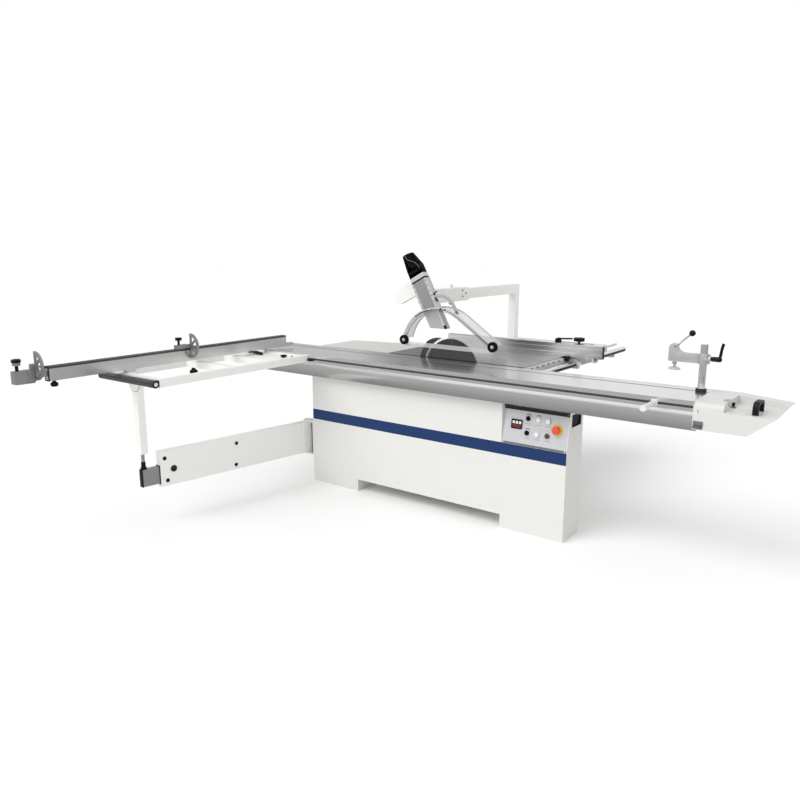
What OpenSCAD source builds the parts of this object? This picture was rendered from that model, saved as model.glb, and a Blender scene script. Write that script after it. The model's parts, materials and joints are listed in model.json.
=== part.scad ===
// Sliding table saw: floor-standing base, long sliding carriage with an outrigger and
// crosscut fence, rip fence on a round bar, overhead guard and a tilting saw unit.
// Millimetres, +Z up. The origin is on the floor under the saw axis, in the middle of the
// four anchor holes, and y = 0 is the plane of the upright blade.
// X runs along the sliding carriage, Y from the outrigger towards the rip fence.

/* [Tables] */
// Height of the working surface above the floor
table_z = 900; // [880:5:940]
// Saw plane to the edge of the cast table
slot_edge = 8; // [7:0.5:10]
// Cast table reach from the saw axis to the outfeed end
table_left = 512; // [500:1:560]
// Cast table reach from the saw axis to the infeed end
table_right = 505; // [500:1:560]
// Cast table reach from the saw plane to the rip side
table_back = 705; // [650:5:760]
// Thickness of the cast plate
table_plate = 14; // [12:0.5:15]
// Depth of the cast rim and ribs
table_depth = 60; // [50:1:70]
// Width of the cast rim and ribs
table_rib = 12; // [8:1:20]
// Length of the outfeed table
outfeed_l = 608; // [400:4:800]
// Width of the outfeed table at its free end
outfeed_end_w = 360; // [280:5:400]
// Width of the outfeed table at the cast table
outfeed_root_w = 500; // [420:5:620]
// Depth of the folded sheet tables
folded_depth = 46; // [40:1:55]
// Length of the side table from the saw axis to the outfeed side
side_left = 242; // [200:2:300]
// Reach of the side table from the saw plane
side_back = 1290; // [1200:5:1340]

/* [Base] */
// Width of the base
base_w = 1865; // [1800:5:1900]
// Depth of the front box of the base
base_d = 200; // [190:2:210]
// Saw plane to the front face of the base
base_front = 295; // [294:1:310]
// Sheet thickness of the base
sheet = 3; // [2:0.5:4]
// Height of the feet
foot_h = 80; // [60:5:100]
// Width of a front foot
foot_w = 396; // [300:2:440]
// Radius of an anchor hole
anchor_r = 9; // [6:0.5:11]
// Half width of the rear cabinet
cabinet_half = 480; // [460:2:490]
// Saw plane to the back of the rear cabinet
cabinet_back = 470; // [465:1:560]
// Outer radius of the dust outlet
outlet_r = 60; // [40:1:75]

/* [Sliding carriage] */
// Length of the sliding carriage
carriage_l = 3200; // [3100:10:3300]
// Carriage reach from the saw axis to its infeed end
carriage_right = 1588; // [1580:2:1700]
// Saw plane to the front edge of the carriage
carriage_front = 380; // [370:1:390]
// Saw plane to the back edge of the carriage
carriage_back = 18; // [17:0.5:22]
// Height of the carriage extrusion
carriage_h = 51; // [46:1:60]
// Thickness of the carriage top
carriage_skin = 12; // [10:0.5:13]
// Length of the guide beam
beam_l = 3075; // [2900:5:3090]
// Beam reach from the saw axis to its infeed end
beam_right = 1598; // [1500:2:1600]
// Height of the guide beam
beam_h = 97; // [90:1:110]
// Running gap between sliding faces
run_gap = 0.3; // [0.2:0.05:0.5]
// Length of the end cover
cover_l = 368; // [330:2:420]
// Radius of the clamp column
column_r = 17.5; // [14:0.5:20]
// Height of the clamp column
column_h = 236; // [210:2:300]

/* [Outrigger and crosscut fence] */
// Width of the outrigger frame
frame_w = 516; // [460:2:560]
// Reach of the outrigger frame from the carriage
frame_reach = 1155; // [1100:5:1200]
// Height of the outrigger tubes
tube_h = 43; // [36:1:48]
// Width of the outrigger tubes
tube_w = 40; // [30:1:50]
// Radius of the end roller
roller_r = 21; // [15:0.5:23]
// Height of the crosscut fence
fence_h = 78; // [70:1:95]
// Thickness of the crosscut fence
fence_t = 40; // [38:1:50]
// Length of the crosscut fence
fence_l = 1717; // [1600:5:1800]
// Radius of a flip stop plate
flip_r = 76; // [60:1:85]
// Length of the swing arm from its pivot
arm_l = 1120; // [1080:5:1130]
// Height of the swing arm
arm_h = 217; // [190:1:230]
// Thickness of the swing arm
arm_t = 46; // [44:1:50]

/* [Rip fence] */
// Radius of the guide bar
bar_r = 20; // [16:0.5:24]
// Length of the guide bar
bar_l = 1506; // [1480:2:1560]
// Length of the rip fence
rip_l = 1158; // [1000:2:1250]
// Height of the rip fence
rip_h = 84; // [70:1:95]
// Thickness of the rip fence
rip_t = 40; // [34:1:50]
// Saw plane to the face of the rip fence
rip_y = 560; // [500:5:700]

/* [Saw unit and guard] */
// Radius of the saw blade
blade_r = 200; // [180:1:204]
// Depth of the arbor below the working surface with the blade fully raised
arbor_depth = 62; // [60:1:70]
// Thickness of the saw blade
blade_t = 3.2; // [2.4:0.1:4]
// Radius of the arbor
arbor_r = 15; // [12:0.5:16]
// Radius of the scoring blade
scoring_r = 50; // [40:1:52]
// Radius of the hood spigot
spigot_r = 38; // [32:1:42]
// Width of the extraction hood
hood_w = 106; // [96:1:118]
// Depth of the extraction hood
hood_d = 50; // [44:1:60]
// Lean of the hood from upright, degrees
hood_lean = 28; // [20:0.5:32]
// Radius of the guard arch
arch_r = 275; // [250:1:290]
// Width of the guard arch
arch_w = 100; // [96:1:110]
// Radius of a guard wheel
wheel_r = 31; // [24:0.5:36]
// Height of the top of the overhead arm
stand_z = 1312; // [1280:2:1330]

/* [Hidden] */
$fn = 48;

// Shared clearances and the overrun of a cut past the face that it opens
cut = 4;
pin_gap = 0.05;
seat_gap = 0.2;

// Heights that follow from the working surface
table_under = table_z - table_plate;
table_low = table_z - table_depth;
carriage_z = table_z - carriage_h;
beam_top = carriage_z - run_gap;
beam_z = beam_top - beam_h;

// Guide beam: a round front, a back that leaves room for the tilted blade, and a tongue
beam_setback = 8;
beam_round_r = 110;
beam_round_share = 0.7;
beam_foot = 195;
beam_back = 96;
beam_wall = 8;
beam_core = 74;
tongue_front = 300;
tongue_back = 220;
tongue_h = 9;

// Carriage profile
carriage_web = 140;
carriage_wall = 10;
channel_top = 5;
slot_mouth = 12;
slot_wide = 24;
slot_lip = 8;
slot_deep = 20;
slot_place_share = 0.45;
slot_z = carriage_z + carriage_h * slot_place_share;
groove_in = 25;
groove_step = 9;
groove_w = 1.5;

// Base details
half_w = base_w / 2;
base_y = -base_front;
base_back = base_y + base_d;
anchor_in = 63.5;
anchor_x = half_w - foot_w + anchor_in;
anchor_y = base_front - base_d / 2;
flange_d = 88;
foot_wall = 4;
foot_sole = 8;
rear_foot_d = 120;
rear_foot_over = 60;
panel_w = 395;
panel_h = 216;
panel_z = 513;
panel_lean = 8.8;
panel_t = 12;
panel_seat = 3;
panel_x = half_w - sheet - panel_w;
panel_top = panel_z + panel_h * cos(panel_lean);
panel_back = base_y + panel_h * sin(panel_lean);
window_low = 644;
window_high = 715;
window_inset = 20;
window_back = 21;

// Swing arm hinge at the outfeed end of the base
hinge_out = 77.5;
hinge_in = 25;
hinge_x = -half_w - hinge_out;
hinge_y = base_y + hinge_in;
hinge_pin_r = 10;
hinge_lug = 12;
hinge_plate = 10;
hinge_half = 26;
arm_top = 410;
arm_z = arm_top - arm_h;
arm_angle = 8.5;
arm_wall = 3;
arm_root = 60;

// Rear cabinet details
outlet_x = -150;
outlet_z = 300;
outlet_l = 70;
outlet_wall = 3;

// Tilting frame in its round cradles, about the line where the blade meets the table
tilt_r = 150;
tilt_x = 330;
tilt_t = 16;
tilt_lap = 8;
tilt_drop = 4;
tilt_top = table_under - tilt_drop;
cradle_w = 40;
cradle_pad = 60;
cradle_reach_share = 0.72;
back_y = 100;
back_t = 16;
back_drop = 300;
back_low = table_z - back_drop;
back_bar = 40;
back_gap = 40;
back_lap = 40;
back_out = tilt_x - tilt_lap / 2;

// Rising slide, arbor and drive
arbor_z = table_z - arbor_depth;
housing_r = 32;
housing_y = 12;
slide_half = 78;
slide_y = 60;
slide_down = 150;
slide_up = 34;
rear_plate = 6;
rear_plate_y = back_y + back_t + run_gap;
motor_x = -170;
motor_drop = 148;
motor_z = arbor_z - motor_drop;
motor_r = 70;
motor_y = 158;
motor_l = 250;
motor_foot = 6;
motor_rib = 6;
motor_ribs = 9;
motor_rib_share = 0.6;
shaft_hole_r = 30;
shelf_t = 10;
shelf_half = 80;
pulley_side = 4;
pulley_y = rear_plate_y + rear_plate + pulley_side;
pulley_w = 24;
pulley_r = 35;
motor_pulley_r = 50;
belt_t = 5;
belt_steps = 40;
motor_shaft_r = 14;
flange_r = 30;
flange_t = 7;
nut_r = 15;
nut_l = 11;
teeth = 60;
tooth_h = 7;
tooth_shares = [0, 0.34, 0.6];
slots = 4;
slot_l = 36;
slot_w = 2.5;
knife_gap = 6;
knife_w = 46;
knife_in = blade_r + knife_gap;
knife_out = knife_in + knife_w;
knife_t = 2.8;
knife_from = 130;
knife_to = 198;
knife_arm_drop = 80;
knife_arm_h = 34;
scoring_x = 264;
scoring_up = 2;
scoring_t = 3;
scoring_z = table_z + scoring_up - scoring_r;
scoring_shaft_r = 9;
scoring_arm = 50;
scoring_arm_y = 40;
scoring_motor_r = 34;
scoring_motor_l = 60;
scoring_teeth = 24;

// Overhead guard
guard_x = -275;
stand_w = 60;
stand_h = 70;
stand_wall = 4;
stand_out = 20;
stand_y = side_back + stand_out;
stand_drop = 140;
stand_low = table_z - stand_drop;
stand_reach = 350;
sleeve_front = 90;
sleeve_back = 570;
sleeve_wall = 9;
sleeve_gap = 0.5;
head_set = 14;
head_y = hood_d / 2 + head_set;
head_t = 30;
head_w = 95;
head_far_x = -443;
head_far_up = 375;
head_far_z = table_z + head_far_up;
head_near_x = -280;
head_near_up = 459;
head_near_z = table_z + head_near_up;
hood_x = -90;
hood_up = 195;
hood_z = table_z + hood_up;
hood_l = 378;
hood_wall = 3;
hood_mouth = 70;
rail_half = 20;
rail_low = 145;
rail_high = 350;
cone_l = 100;
cone_r = 56;
cone_over = 5;
spigot_l = 40;
reducer_wall = 4;
arch_x = -72;
arch_up = 50;
arch_z = table_z + arch_up;
arch_t = 4;
arch_from = 166;
arch_leg = 290;
arch_turn = 56;
wheel_left = -327;
wheel_left_up = 110;
wheel_right = 329;
wheel_right_up = 114.5;
wheel_w = 18;
wheel_dish = 2;
axle_r = 6;
shield_t = 4;
shield_up = 71;
shield_h = 28;
lug_r = 22;
wheel_places = [[wheel_right, table_z + wheel_right_up], [wheel_left, table_z + wheel_left_up]];

// End cover with its handle and lock button
cover_x = carriage_right;
cover_wall = 3;
cover_flat = 134;
cover_deep = 134;
cover_low = table_z - cover_deep;
well_deep = 38;
cover_well = table_z - well_deep;
rim_deep = 34;
cover_rim = table_z - rim_deep;
cover_toe = 128;
cover_nose = 12;
cover_strip = 100;
grip_in = 261;
grip_x = cover_x + grip_in;
grip_y = -290;
grip_l = 111;
grip_h = 50;
grip_r = 8;
button_in = 142;
button_x = cover_x + button_in;
button_y = -234;
button_r = 7;
button_h = 16;
button_stem_r = 4;
button_travel = 6;
button_seat = 3;

// Push bar and clamp on the carriage
push_in = 180;
push_x = carriage_right - push_in;
push_r = 12.5;
push_l = 150;
push_foot = 30;
push_foot_t = 9;
push_cap = 18;
push_cap_over = 3;
clamp_in = 40;
clamp_x = carriage_right - clamp_in;
clamp_y = -116;
clamp_foot_r = 22;
clamp_foot_h = 20;
clamp_drop = 96;
clamp_arm_h = 49;
clamp_arm_t = 40;
clamp_reach = 138;
clamp_nose = 62;
clamp_nose_up = 46;
clamp_bend = 34;
clamp_hub_r = 30;
clamp_z = table_z + column_h - clamp_drop;
clamp_tip = clamp_x - clamp_reach;
lever_r = 4;
lever_l = 93;
lever_ball = 18;
lever_angle = 38;
lever_hub_r = 9;
lever_fork = 16;
lever_z = clamp_z + clamp_arm_h + clamp_nose_up - lever_hub_r * 2;
plunger_r = 11;
plunger_tip = 5;
plunger_travel = 14;
pad_r = 29;
pad_h = 9;
pad_drop = 40;
handle_r = 9;
handle_shaft_r = 4.5;
handle_l = 62;
handle_up = 74;
handle_tilt = 12;

// Shape of the hand knobs
knob_r = 20;
knob_h = 16;
knob_stem_r = 7;
knob_stem = 22;
knob_root = 8;
knob_neck_share = 0.55;
knob_flare_share = 0.47;
scallop_share = 0.4;
scallop_out_share = 1.2;
rim_share = 0.8;
knob_lobes = 6;

// Outrigger places
frame_x = -1140;
frame_drop = 5;
frame_top = table_z - frame_drop;
frame_low = frame_top - tube_h;
frame_y = -carriage_front - frame_reach;
frame_wall = 3;
bar_shares = [0.024, 0.26, 0.52, 0.983];
knob_bar = 2;
knob_side_share = -0.33;
roller_gap = 4;
roller_pin_r = 8;
roller_groove = 2;
roller_count = 9;
roller_y = frame_y - roller_gap - roller_r;
roller_z = frame_top - tube_h / 2;
ear_t = 6;
ear_in = 18;
ear_w = 28;
ear_root = 20;
ear_gap = 0.6;
stem_past = 92;
stem_at = arm_l + stem_past;
stem_r = 10;
post_x = hinge_x - stem_at * sin(arm_angle);
post_y = hinge_y - stem_at * cos(arm_angle);
post_w = 46;
post_gap = 5;
post_low = arm_top + post_gap;
post_plate = 6;
ram_h = 104;
ram_t = 34;
ram_up = 22;
ram_z = arm_z + ram_up;
ram_in = 700;
ram_past = 14;
ram_wall = 4;

// Crosscut fence places
fence_x = -1265;
fence_up = 12;
fence_z = table_z + fence_up;
fence_top = fence_z + fence_h;
fence_y = -245;
fence_end = fence_y - fence_l;
fence_mid = fence_x + fence_t / 2;
fence_slot = 10;
fence_slot_d = 8;
fence_foot_r = 19;
pivot_r = 10;
pivot_y = -carriage_front - frame_reach * bar_shares[0];
shoe_share = 0.95;
shoe_y = -carriage_front - frame_reach * shoe_share;
shoe_l = 60;
nose_l = 66;
nose_h = 24;
ext_t = 26;
ext_h = 30;
ext_up = 26;
ext_z = fence_z + ext_up;
ext_gap = 0.5;
ext_in = 700;
ext_out = 70;
end_y = fence_end - ext_out;
end_l = 103;
end_h = 66;
end_t = 44;
end_up = 6;
end_z = fence_z + end_up;
end_knob_in = 23;
stop_y = -1150;
stop_l = 85;
stop_t = 44;
stop_h = 22;
stop_round = 3;
stop_z = fence_top + run_gap;
tongue_d = 4;
flip_t = 12;
flip_spoke = 9;
flip_spoke_angle = 38;
flip_hub_r = 12;
flip_pin_r = 5;
flip_up = 13;
flip_set = 8;
flip_lug = 18;
flip_x = fence_x + fence_t - flip_set;
flip_z = fence_top + flip_up;

// Rip fence places
bar_out = 53;
bar_x = table_right + bar_out;
bar_drop = 50;
bar_z = table_z - bar_drop;
bar_y = -14;
scale_t = 6;
scale_drop = 7;
scale_high = table_z - scale_drop;
scale_ledge = 12;
scale_ledge_h = 13;
bracket_t = 15;
bracket_l = 30;
bracket_over = 17;
bracket_count = 5;
scale_low = bar_z - bar_r - bracket_t;
scale_past = 165;
sleeve_t = 13;
sleeve_r = bar_r + sleeve_t;
carrier_l = 110;
carrier_sleeve = 250;
carrier_lift = 3;
carrier_left = 36;
carrier_in = 24;
carrier_w = 110;
carrier_h = 78;
carrier_open_share = 0.55;
carrier_x = bar_x - carrier_in;
carrier_y = rip_y + rip_t + run_gap;
carrier_top = table_z + carrier_h;
carrier_mid = carrier_y + carrier_l / 2;
rip_lift = 1;
rip_x = -395;
rip_wall = 4;
cam_r = 15;
cam_pin_r = 3;
cam_l = 103;
cam_t = 12;
cam_w = 5;
cam_ear = 6;
cam_out = -140;
cam_rise = 6;
cam_top_share = 0.9;
cam_x = bar_x + cam_out;
cam_z = carrier_top + cam_r + run_gap;
rip_knob_r = 35;
rip_knob_h = 22;
rip_knob_stem = 10;
rip_knob_in = 31;
rip_knob_x = carrier_x + rip_knob_in;

// Panel pieces: places along the panel and up it
display_u = 86;
display_v = 117;
display_w = 68;
display_h = 53;
display_t = 5;
row_high = 157;
row_low = 76;
column_1 = 154;
column_2 = 216;
column_3 = 276;
switch_u = 332;
switch_v = 117;
cap_r = 13;
cap_h = 9;
cap_travel = 4;
panel_stem_r = 5;
disc_t = 4;
dial_r = 14;
dial_h = 8;
dial_bar = 5;
dial_bar_h = 7;
dial_bar_share = 0.9;
switch_r = 24;
switch_h = 12;
switch_bar = 11;
switch_bar_h = 12;

// A block between two opposite corners
module block(lo, hi) translate(lo) cube(hi - lo);
// A block between two corners that may come in either order along X
module block_x(xa, xb, y0, y1, z0, z1) block([min(xa, xb), y0, z0], [max(xa, xb), y1, z1]);
// Round bars along each axis
module rod_x(r, x0, x1, y, z) translate([x0, y, z]) rotate([0, 90, 0]) cylinder(r = r, h = x1 - x0);
module rod_y(r, y0, y1, x, z) translate([x, y1, z]) rotate([90, 0, 0]) cylinder(r = r, h = y1 - y0);
module rod_z(r, z0, z1, x, y) translate([x, y, z0]) cylinder(r = r, h = z1 - z0);
// Outlines drawn in the plane across an axis and run along it
module along_x(x0, x1) translate([x0, 0, 0]) rotate([90, 0, 90]) linear_extrude(x1 - x0) children();
module along_y(y0, y1) translate([0, y1, 0]) rotate([90, 0, 0]) linear_extrude(y1 - y0) children();
module along_z(z0, z1) translate([0, 0, z0]) linear_extrude(z1 - z0) children();
// A flat rectangle between two opposite corners
module patch(lo, hi) translate(lo) square(hi - lo);
// A rectangle with round corners between two opposite corners
module soft_patch(lo, hi, r) {
    patch([lo.x + r, lo.y], [hi.x - r, hi.y]);
    patch([lo.x, lo.y + r], [hi.x, hi.y - r]);
    for (x = [lo.x + r, hi.x - r], y = [lo.y + r, hi.y - r]) translate([x, y]) circle(r);
}
// A rectangular tube along Y
module tube_y(lo, hi, wall) difference() {
    block(lo, hi);
    block([lo.x + wall, lo.y - cut, lo.z + wall], [hi.x - wall, hi.y + cut, hi.z - wall]);
}
// A strip of even width with round ends between two points of a plane
module strap(a, b, w) {
    d = b - a;
    translate(a) circle(w / 2);
    translate(b) circle(w / 2);
    translate(a) rotate(atan2(d.y, d.x)) translate([0, -w / 2]) square([norm(d), w]);
}
// A lobed hand knob that stands up from z = 0, with its shank below
module hand_knob(r, h, stem_r, stem, root) {
    translate([0, 0, -root]) cylinder(r = stem_r, h = root + stem);
    translate([0, 0, stem]) cylinder(r1 = stem_r, r2 = r * knob_flare_share, h = stem_r);
    translate([0, 0, stem + stem_r]) difference() {
        cylinder(r = r, h = h);
        for (i = [0 : knob_lobes - 1]) rotate(i * 360 / knob_lobes)
            translate([r * scallop_out_share, 0, -cut]) cylinder(r = r * scallop_share, h = h + cut * 2);
    }
}

// Folded front sheet of the base with both ends, the hinge lugs and the hinge pin
module base_shell() color("white") {
    difference() {
        union() {
            along_y(base_y, base_y + sheet) polygon([[-half_w, foot_h], [half_w, foot_h],
                [half_w, panel_z], [panel_x, panel_z], [panel_x, beam_z], [-half_w, beam_z]]);
            along_x(half_w - sheet, half_w) polygon([[base_y, foot_h], [base_back, foot_h],
                [base_back, beam_z], [panel_back, beam_z], [panel_back, panel_top],
                [base_y, panel_z]]);
            along_x(panel_x - sheet, panel_x) polygon([[base_y, panel_z], [base_y, beam_z],
                [panel_back, beam_z], [panel_back, panel_top]]);
            block([-half_w, base_y, foot_h], [sheet - half_w, base_back, beam_z]);
            block([-half_w, base_y, foot_h], [half_w, base_back, foot_h + sheet]);
            block([-half_w, base_y, beam_z - sheet], [panel_x, base_y + flange_d, beam_z]);
            block([panel_x - sheet, panel_back, beam_z - sheet],
                [half_w, base_y + flange_d, beam_z]);
            for (s = [-1, 1])
                block_x(s * cabinet_half, s * half_w, base_back - sheet, base_back, foot_h, beam_z);
        }
        block([half_w - sheet - cut, panel_back + window_inset, window_low],
            [half_w + cut, base_back - window_back, window_high]);
    }
    block([-half_w - hinge_plate, hinge_y - hinge_half, arm_z - hinge_lug - run_gap],
        [-half_w, hinge_y + hinge_half, arm_top + hinge_lug + run_gap]);
    for (z = [arm_z - hinge_lug - run_gap, arm_top + run_gap]) along_z(z, z + hinge_lug) {
        translate([hinge_x, hinge_y]) circle(hinge_half);
        patch([hinge_x, hinge_y - hinge_half], [-half_w, hinge_y + hinge_half]);
    }
    rod_z(hinge_pin_r, arm_z - hinge_lug, arm_top + hinge_lug, hinge_x, hinge_y);
}

// Two box feet under the front and one cross foot at the back, with four anchor holes
module base_feet() color("white") {
    for (s = [-1, 1]) difference() {
        block_x(s * (half_w - foot_w), s * half_w, base_y, base_back, 0, foot_h);
        block_x(s * (half_w - foot_w + foot_wall), s * (half_w - foot_wall),
            base_y + foot_wall, base_back - foot_wall, foot_sole, foot_h + cut);
        rod_z(anchor_r, -cut, foot_sole + cut, s * anchor_x, -anchor_y);
    }
    reach = anchor_x + rear_foot_over;
    difference() {
        block([-reach, anchor_y - rear_foot_d / 2, 0], [reach, anchor_y + rear_foot_d / 2, foot_h]);
        block([-reach - cut, anchor_y - rear_foot_d / 2 + foot_wall, foot_sole],
            [reach + cut, anchor_y + rear_foot_d / 2 - foot_wall, foot_h - foot_wall]);
        for (s = [-1, 1]) rod_z(anchor_r, -cut, foot_h + cut, s * anchor_x, anchor_y);
    }
}

// Rear cabinet under the cast table, open at the front and top, with the dust outlet
module rear_cabinet() color("white") difference() {
    union() {
        for (s = [-1, 1]) block_x(s * cabinet_half, s * (cabinet_half - sheet), base_back,
            cabinet_back, foot_h, table_low);
        block([-cabinet_half, cabinet_back - sheet, foot_h],
            [cabinet_half, cabinet_back, table_low]);
        block([-cabinet_half, base_back, foot_h], [cabinet_half, cabinet_back, foot_h + sheet]);
        rod_y(outlet_r, cabinet_back - sheet, cabinet_back + outlet_l, outlet_x, outlet_z);
    }
    rod_y(outlet_r - outlet_wall, cabinet_back - sheet - cut, cabinet_back + outlet_l + cut,
        outlet_x, outlet_z);
}

// Cast table plate with its rim and ribs, open towards the blade
module main_table() color([0.55, 0.57, 0.59]) {
    block([-table_left, slot_edge, table_under], [table_right, table_back, table_z]);
    rib_from = slot_edge + table_plate;
    rib_x = [-table_left, -cabinet_half, cabinet_half - table_rib, table_right - table_rib];
    for (x = rib_x) block([x, rib_from, table_low], [x + table_rib, table_back, table_under]);
    for (y = [cabinet_back - table_rib, table_back - table_rib])
        block([-table_left, y, table_low], [table_right, y + table_rib, table_under]);
}

// Folded outfeed table, wider at its root than at its free end
module outfeed_table() color([0.9, 0.91, 0.9]) {
    far = -table_left - outfeed_l;
    root = -table_left;
    difference() {
        along_z(table_z - folded_depth, table_z) polygon([[far, slot_edge], [root, slot_edge],
            [root, slot_edge + outfeed_root_w], [far, slot_edge + outfeed_end_w]]);
        along_z(table_z - folded_depth - cut, table_z - sheet) polygon([
            [far + sheet, slot_edge + sheet], [root - sheet, slot_edge + sheet],
            [root - sheet, slot_edge + outfeed_root_w - sheet * 2],
            [far + sheet, slot_edge + outfeed_end_w - sheet * 2]]);
    }
}

// Folded side table that widens the rip side, with two stiffening folds
module side_table() color([0.9, 0.91, 0.9]) {
    difference() {
        block([-side_left, table_back, table_z - folded_depth], [table_right, side_back, table_z]);
        block([sheet - side_left, table_back + sheet, table_z - folded_depth - cut],
            [table_right - sheet, side_back - sheet, table_z - sheet]);
    }
    for (share = [1 / 3, 2 / 3]) {
        y = table_back + (side_back - table_back) * share;
        block([sheet - side_left, y, table_z - folded_depth],
            [table_right - sheet, y + sheet, table_z - sheet]);
    }
}

// Hollow guide beam with a round front and a tongue on top
module guide_beam() color([0.7, 0.71, 0.73]) along_x(beam_right - beam_l, beam_right) {
    round_y = beam_round_r - carriage_front + beam_setback;
    difference() {
        union() {
            intersection() {
                translate([round_y, beam_z + beam_h * beam_round_share]) circle(beam_round_r);
                patch([-carriage_front, beam_z], [round_y, beam_top]);
            }
            polygon([[round_y, beam_z], [-beam_foot, beam_z], [-beam_back, beam_top],
                [round_y, beam_top]]);
        }
        polygon([[round_y - beam_core, beam_z + beam_wall], [-beam_foot - beam_wall, beam_z + beam_wall],
            [-beam_back - beam_wall * 3, beam_top - beam_wall], [round_y - beam_core, beam_top - beam_wall]]);
    }
    patch([-tongue_front, beam_top - cut], [-tongue_back, beam_top + tongue_h]);
}

// Round bar that guides the rip fence
module rail_bar() color("silver") rod_y(bar_r, bar_y, bar_y + bar_l, bar_x, bar_z);

// Rail on the infeed edge of the tables, with its scale ledge and the arms under the bar
module scale_rail() color("white") {
    block([table_right, slot_edge, scale_low], [table_right + scale_t, side_back, scale_high]);
    block([table_right, slot_edge, scale_high - scale_ledge_h],
        [table_right + scale_t + scale_ledge, side_back + scale_past, scale_high]);
    for (i = [0 : bracket_count - 1]) {
        y = slot_edge + (side_back - slot_edge - bracket_l) * i / (bracket_count - 1);
        block([table_right, y, scale_low], [bar_x + bracket_over, y + bracket_l, scale_low + bracket_t]);
    }
}

// Panel frame: local x along the panel, local z up it, local y into it
module at_panel() translate([panel_x, base_y, panel_z]) rotate([-panel_lean, 0, 0]) children();
// Places of the round panel pieces along and up the panel
dial_places = [[column_1, row_high], [column_1, row_low]];
cap_places = [[column_2, row_low], [column_3, row_high]];
key_place = [column_3, row_low];
switch_place = [switch_u, switch_v];

// Leaning control panel with a hole for each piece that it holds and a fixed lamp
module control_panel() color([0.82, 0.83, 0.84]) at_panel() {
    difference() {
        block([0, 0, panel_seat], [panel_w, panel_t, panel_h]);
        for (p = concat(dial_places, cap_places, [key_place, switch_place]))
            rod_y(panel_stem_r + run_gap, -cut, panel_t + cut, p.x, p.y);
    }
    rod_y(cap_r, -cap_h, 0, column_2, row_high);
}

// Display with a raised bezel round its window
module display_unit() color([0.08, 0.08, 0.09]) at_panel() difference() {
    lo = [display_u - display_w / 2, display_v - display_h / 2];
    hi = [display_u + display_w / 2, display_v + display_h / 2];
    along_y(-display_t, 0) soft_patch(lo, hi, display_t);
    block([lo.x + display_t, -display_t - cut, lo.y + display_t],
        [hi.x - display_t, -display_t / 2, hi.y - display_t]);
}

// A stem through the panel with a retaining disc behind it
module panel_stem(p) {
    rod_y(panel_stem_r, -seat_gap, panel_t + seat_gap + disc_t, p.x, p.y);
    rod_y(panel_stem_r * 2, panel_t + seat_gap, panel_t + seat_gap + disc_t, p.x, p.y);
}
// A push button whose stem slides through the panel
module push_cap(p) {
    panel_stem(p);
    rod_y(cap_r, -cap_h - cap_travel - seat_gap, -cap_travel - seat_gap, p.x, p.y);
    rod_y(panel_stem_r, -cap_travel - seat_gap, 0, p.x, p.y);
}
// A turning dial with a finger bar
module turn_dial(p) {
    panel_stem(p);
    rod_y(dial_r, -dial_h, -seat_gap, p.x, p.y);
    block([p.x - dial_bar / 2, -dial_h - dial_bar_h, p.y - dial_r * dial_bar_share],
        [p.x + dial_bar / 2, -dial_h, p.y + dial_r * dial_bar_share]);
}
module mode_selector() color([0.1, 0.1, 0.1]) at_panel() turn_dial(dial_places[0]);
module axis_selector() color([0.1, 0.1, 0.1]) at_panel() turn_dial(dial_places[1]);
module key_switch() color([0.2, 0.2, 0.22]) at_panel() turn_dial(key_place);
module start_button() color("white") at_panel() push_cap(cap_places[1]);
module stop_button() color("white") at_panel() push_cap(cap_places[0]);
// Rotary main switch with a broad grip
module main_switch() color([0.85, 0.25, 0.1]) at_panel() {
    panel_stem(switch_place);
    rod_y(switch_r, -switch_h, -seat_gap, switch_place.x, switch_place.y);
    block([switch_place.x - switch_bar / 2, -switch_h - switch_bar_h, switch_place.y - switch_r],
        [switch_place.x + switch_bar / 2, -switch_h, switch_place.y + switch_r]);
}

// Post beside the side table and the overhead arm that reaches over the saw
module guard_stand() color("white") {
    lo = [guard_x - stand_w / 2, stand_y - stand_w / 2, stand_low];
    hi = [guard_x + stand_w / 2, stand_y + stand_w / 2, stand_z];
    difference() {
        block(lo, hi);
        block([lo.x + stand_wall, lo.y + stand_wall, lo.z - cut],
            [hi.x - stand_wall, hi.y - stand_wall, hi.z - stand_wall]);
    }
    tube_y([lo.x, stand_reach, stand_z - stand_h], [hi.x, lo.y, stand_z], stand_wall);
    block([hi.x, stand_y - stand_w, stand_low], [-side_left, hi.y, table_z - sheet]);
}

// Two cradles under the cast table, each with a round seat about the tilt axis
module trunnions() color([0.5, 0.5, 0.52]) for (s = [-1, 1])
    along_x(s * tilt_x + (s - 1) / 2 * tilt_t, s * tilt_x + (s + 1) / 2 * tilt_t) difference() {
        union() {
            intersection() {
                translate([0, table_z]) circle(tilt_r + cradle_w);
                patch([-tilt_r * cradle_reach_share, 0], [tilt_r + cradle_w, table_under]);
            }
            patch([tilt_r, table_z - tilt_r], [tilt_r + cradle_pad, table_under]);
        }
        translate([0, table_z]) circle(tilt_r);
        patch([-tilt_r * 2, table_z - tilt_r * cradle_reach_share], [0, table_z]);
    }

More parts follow.
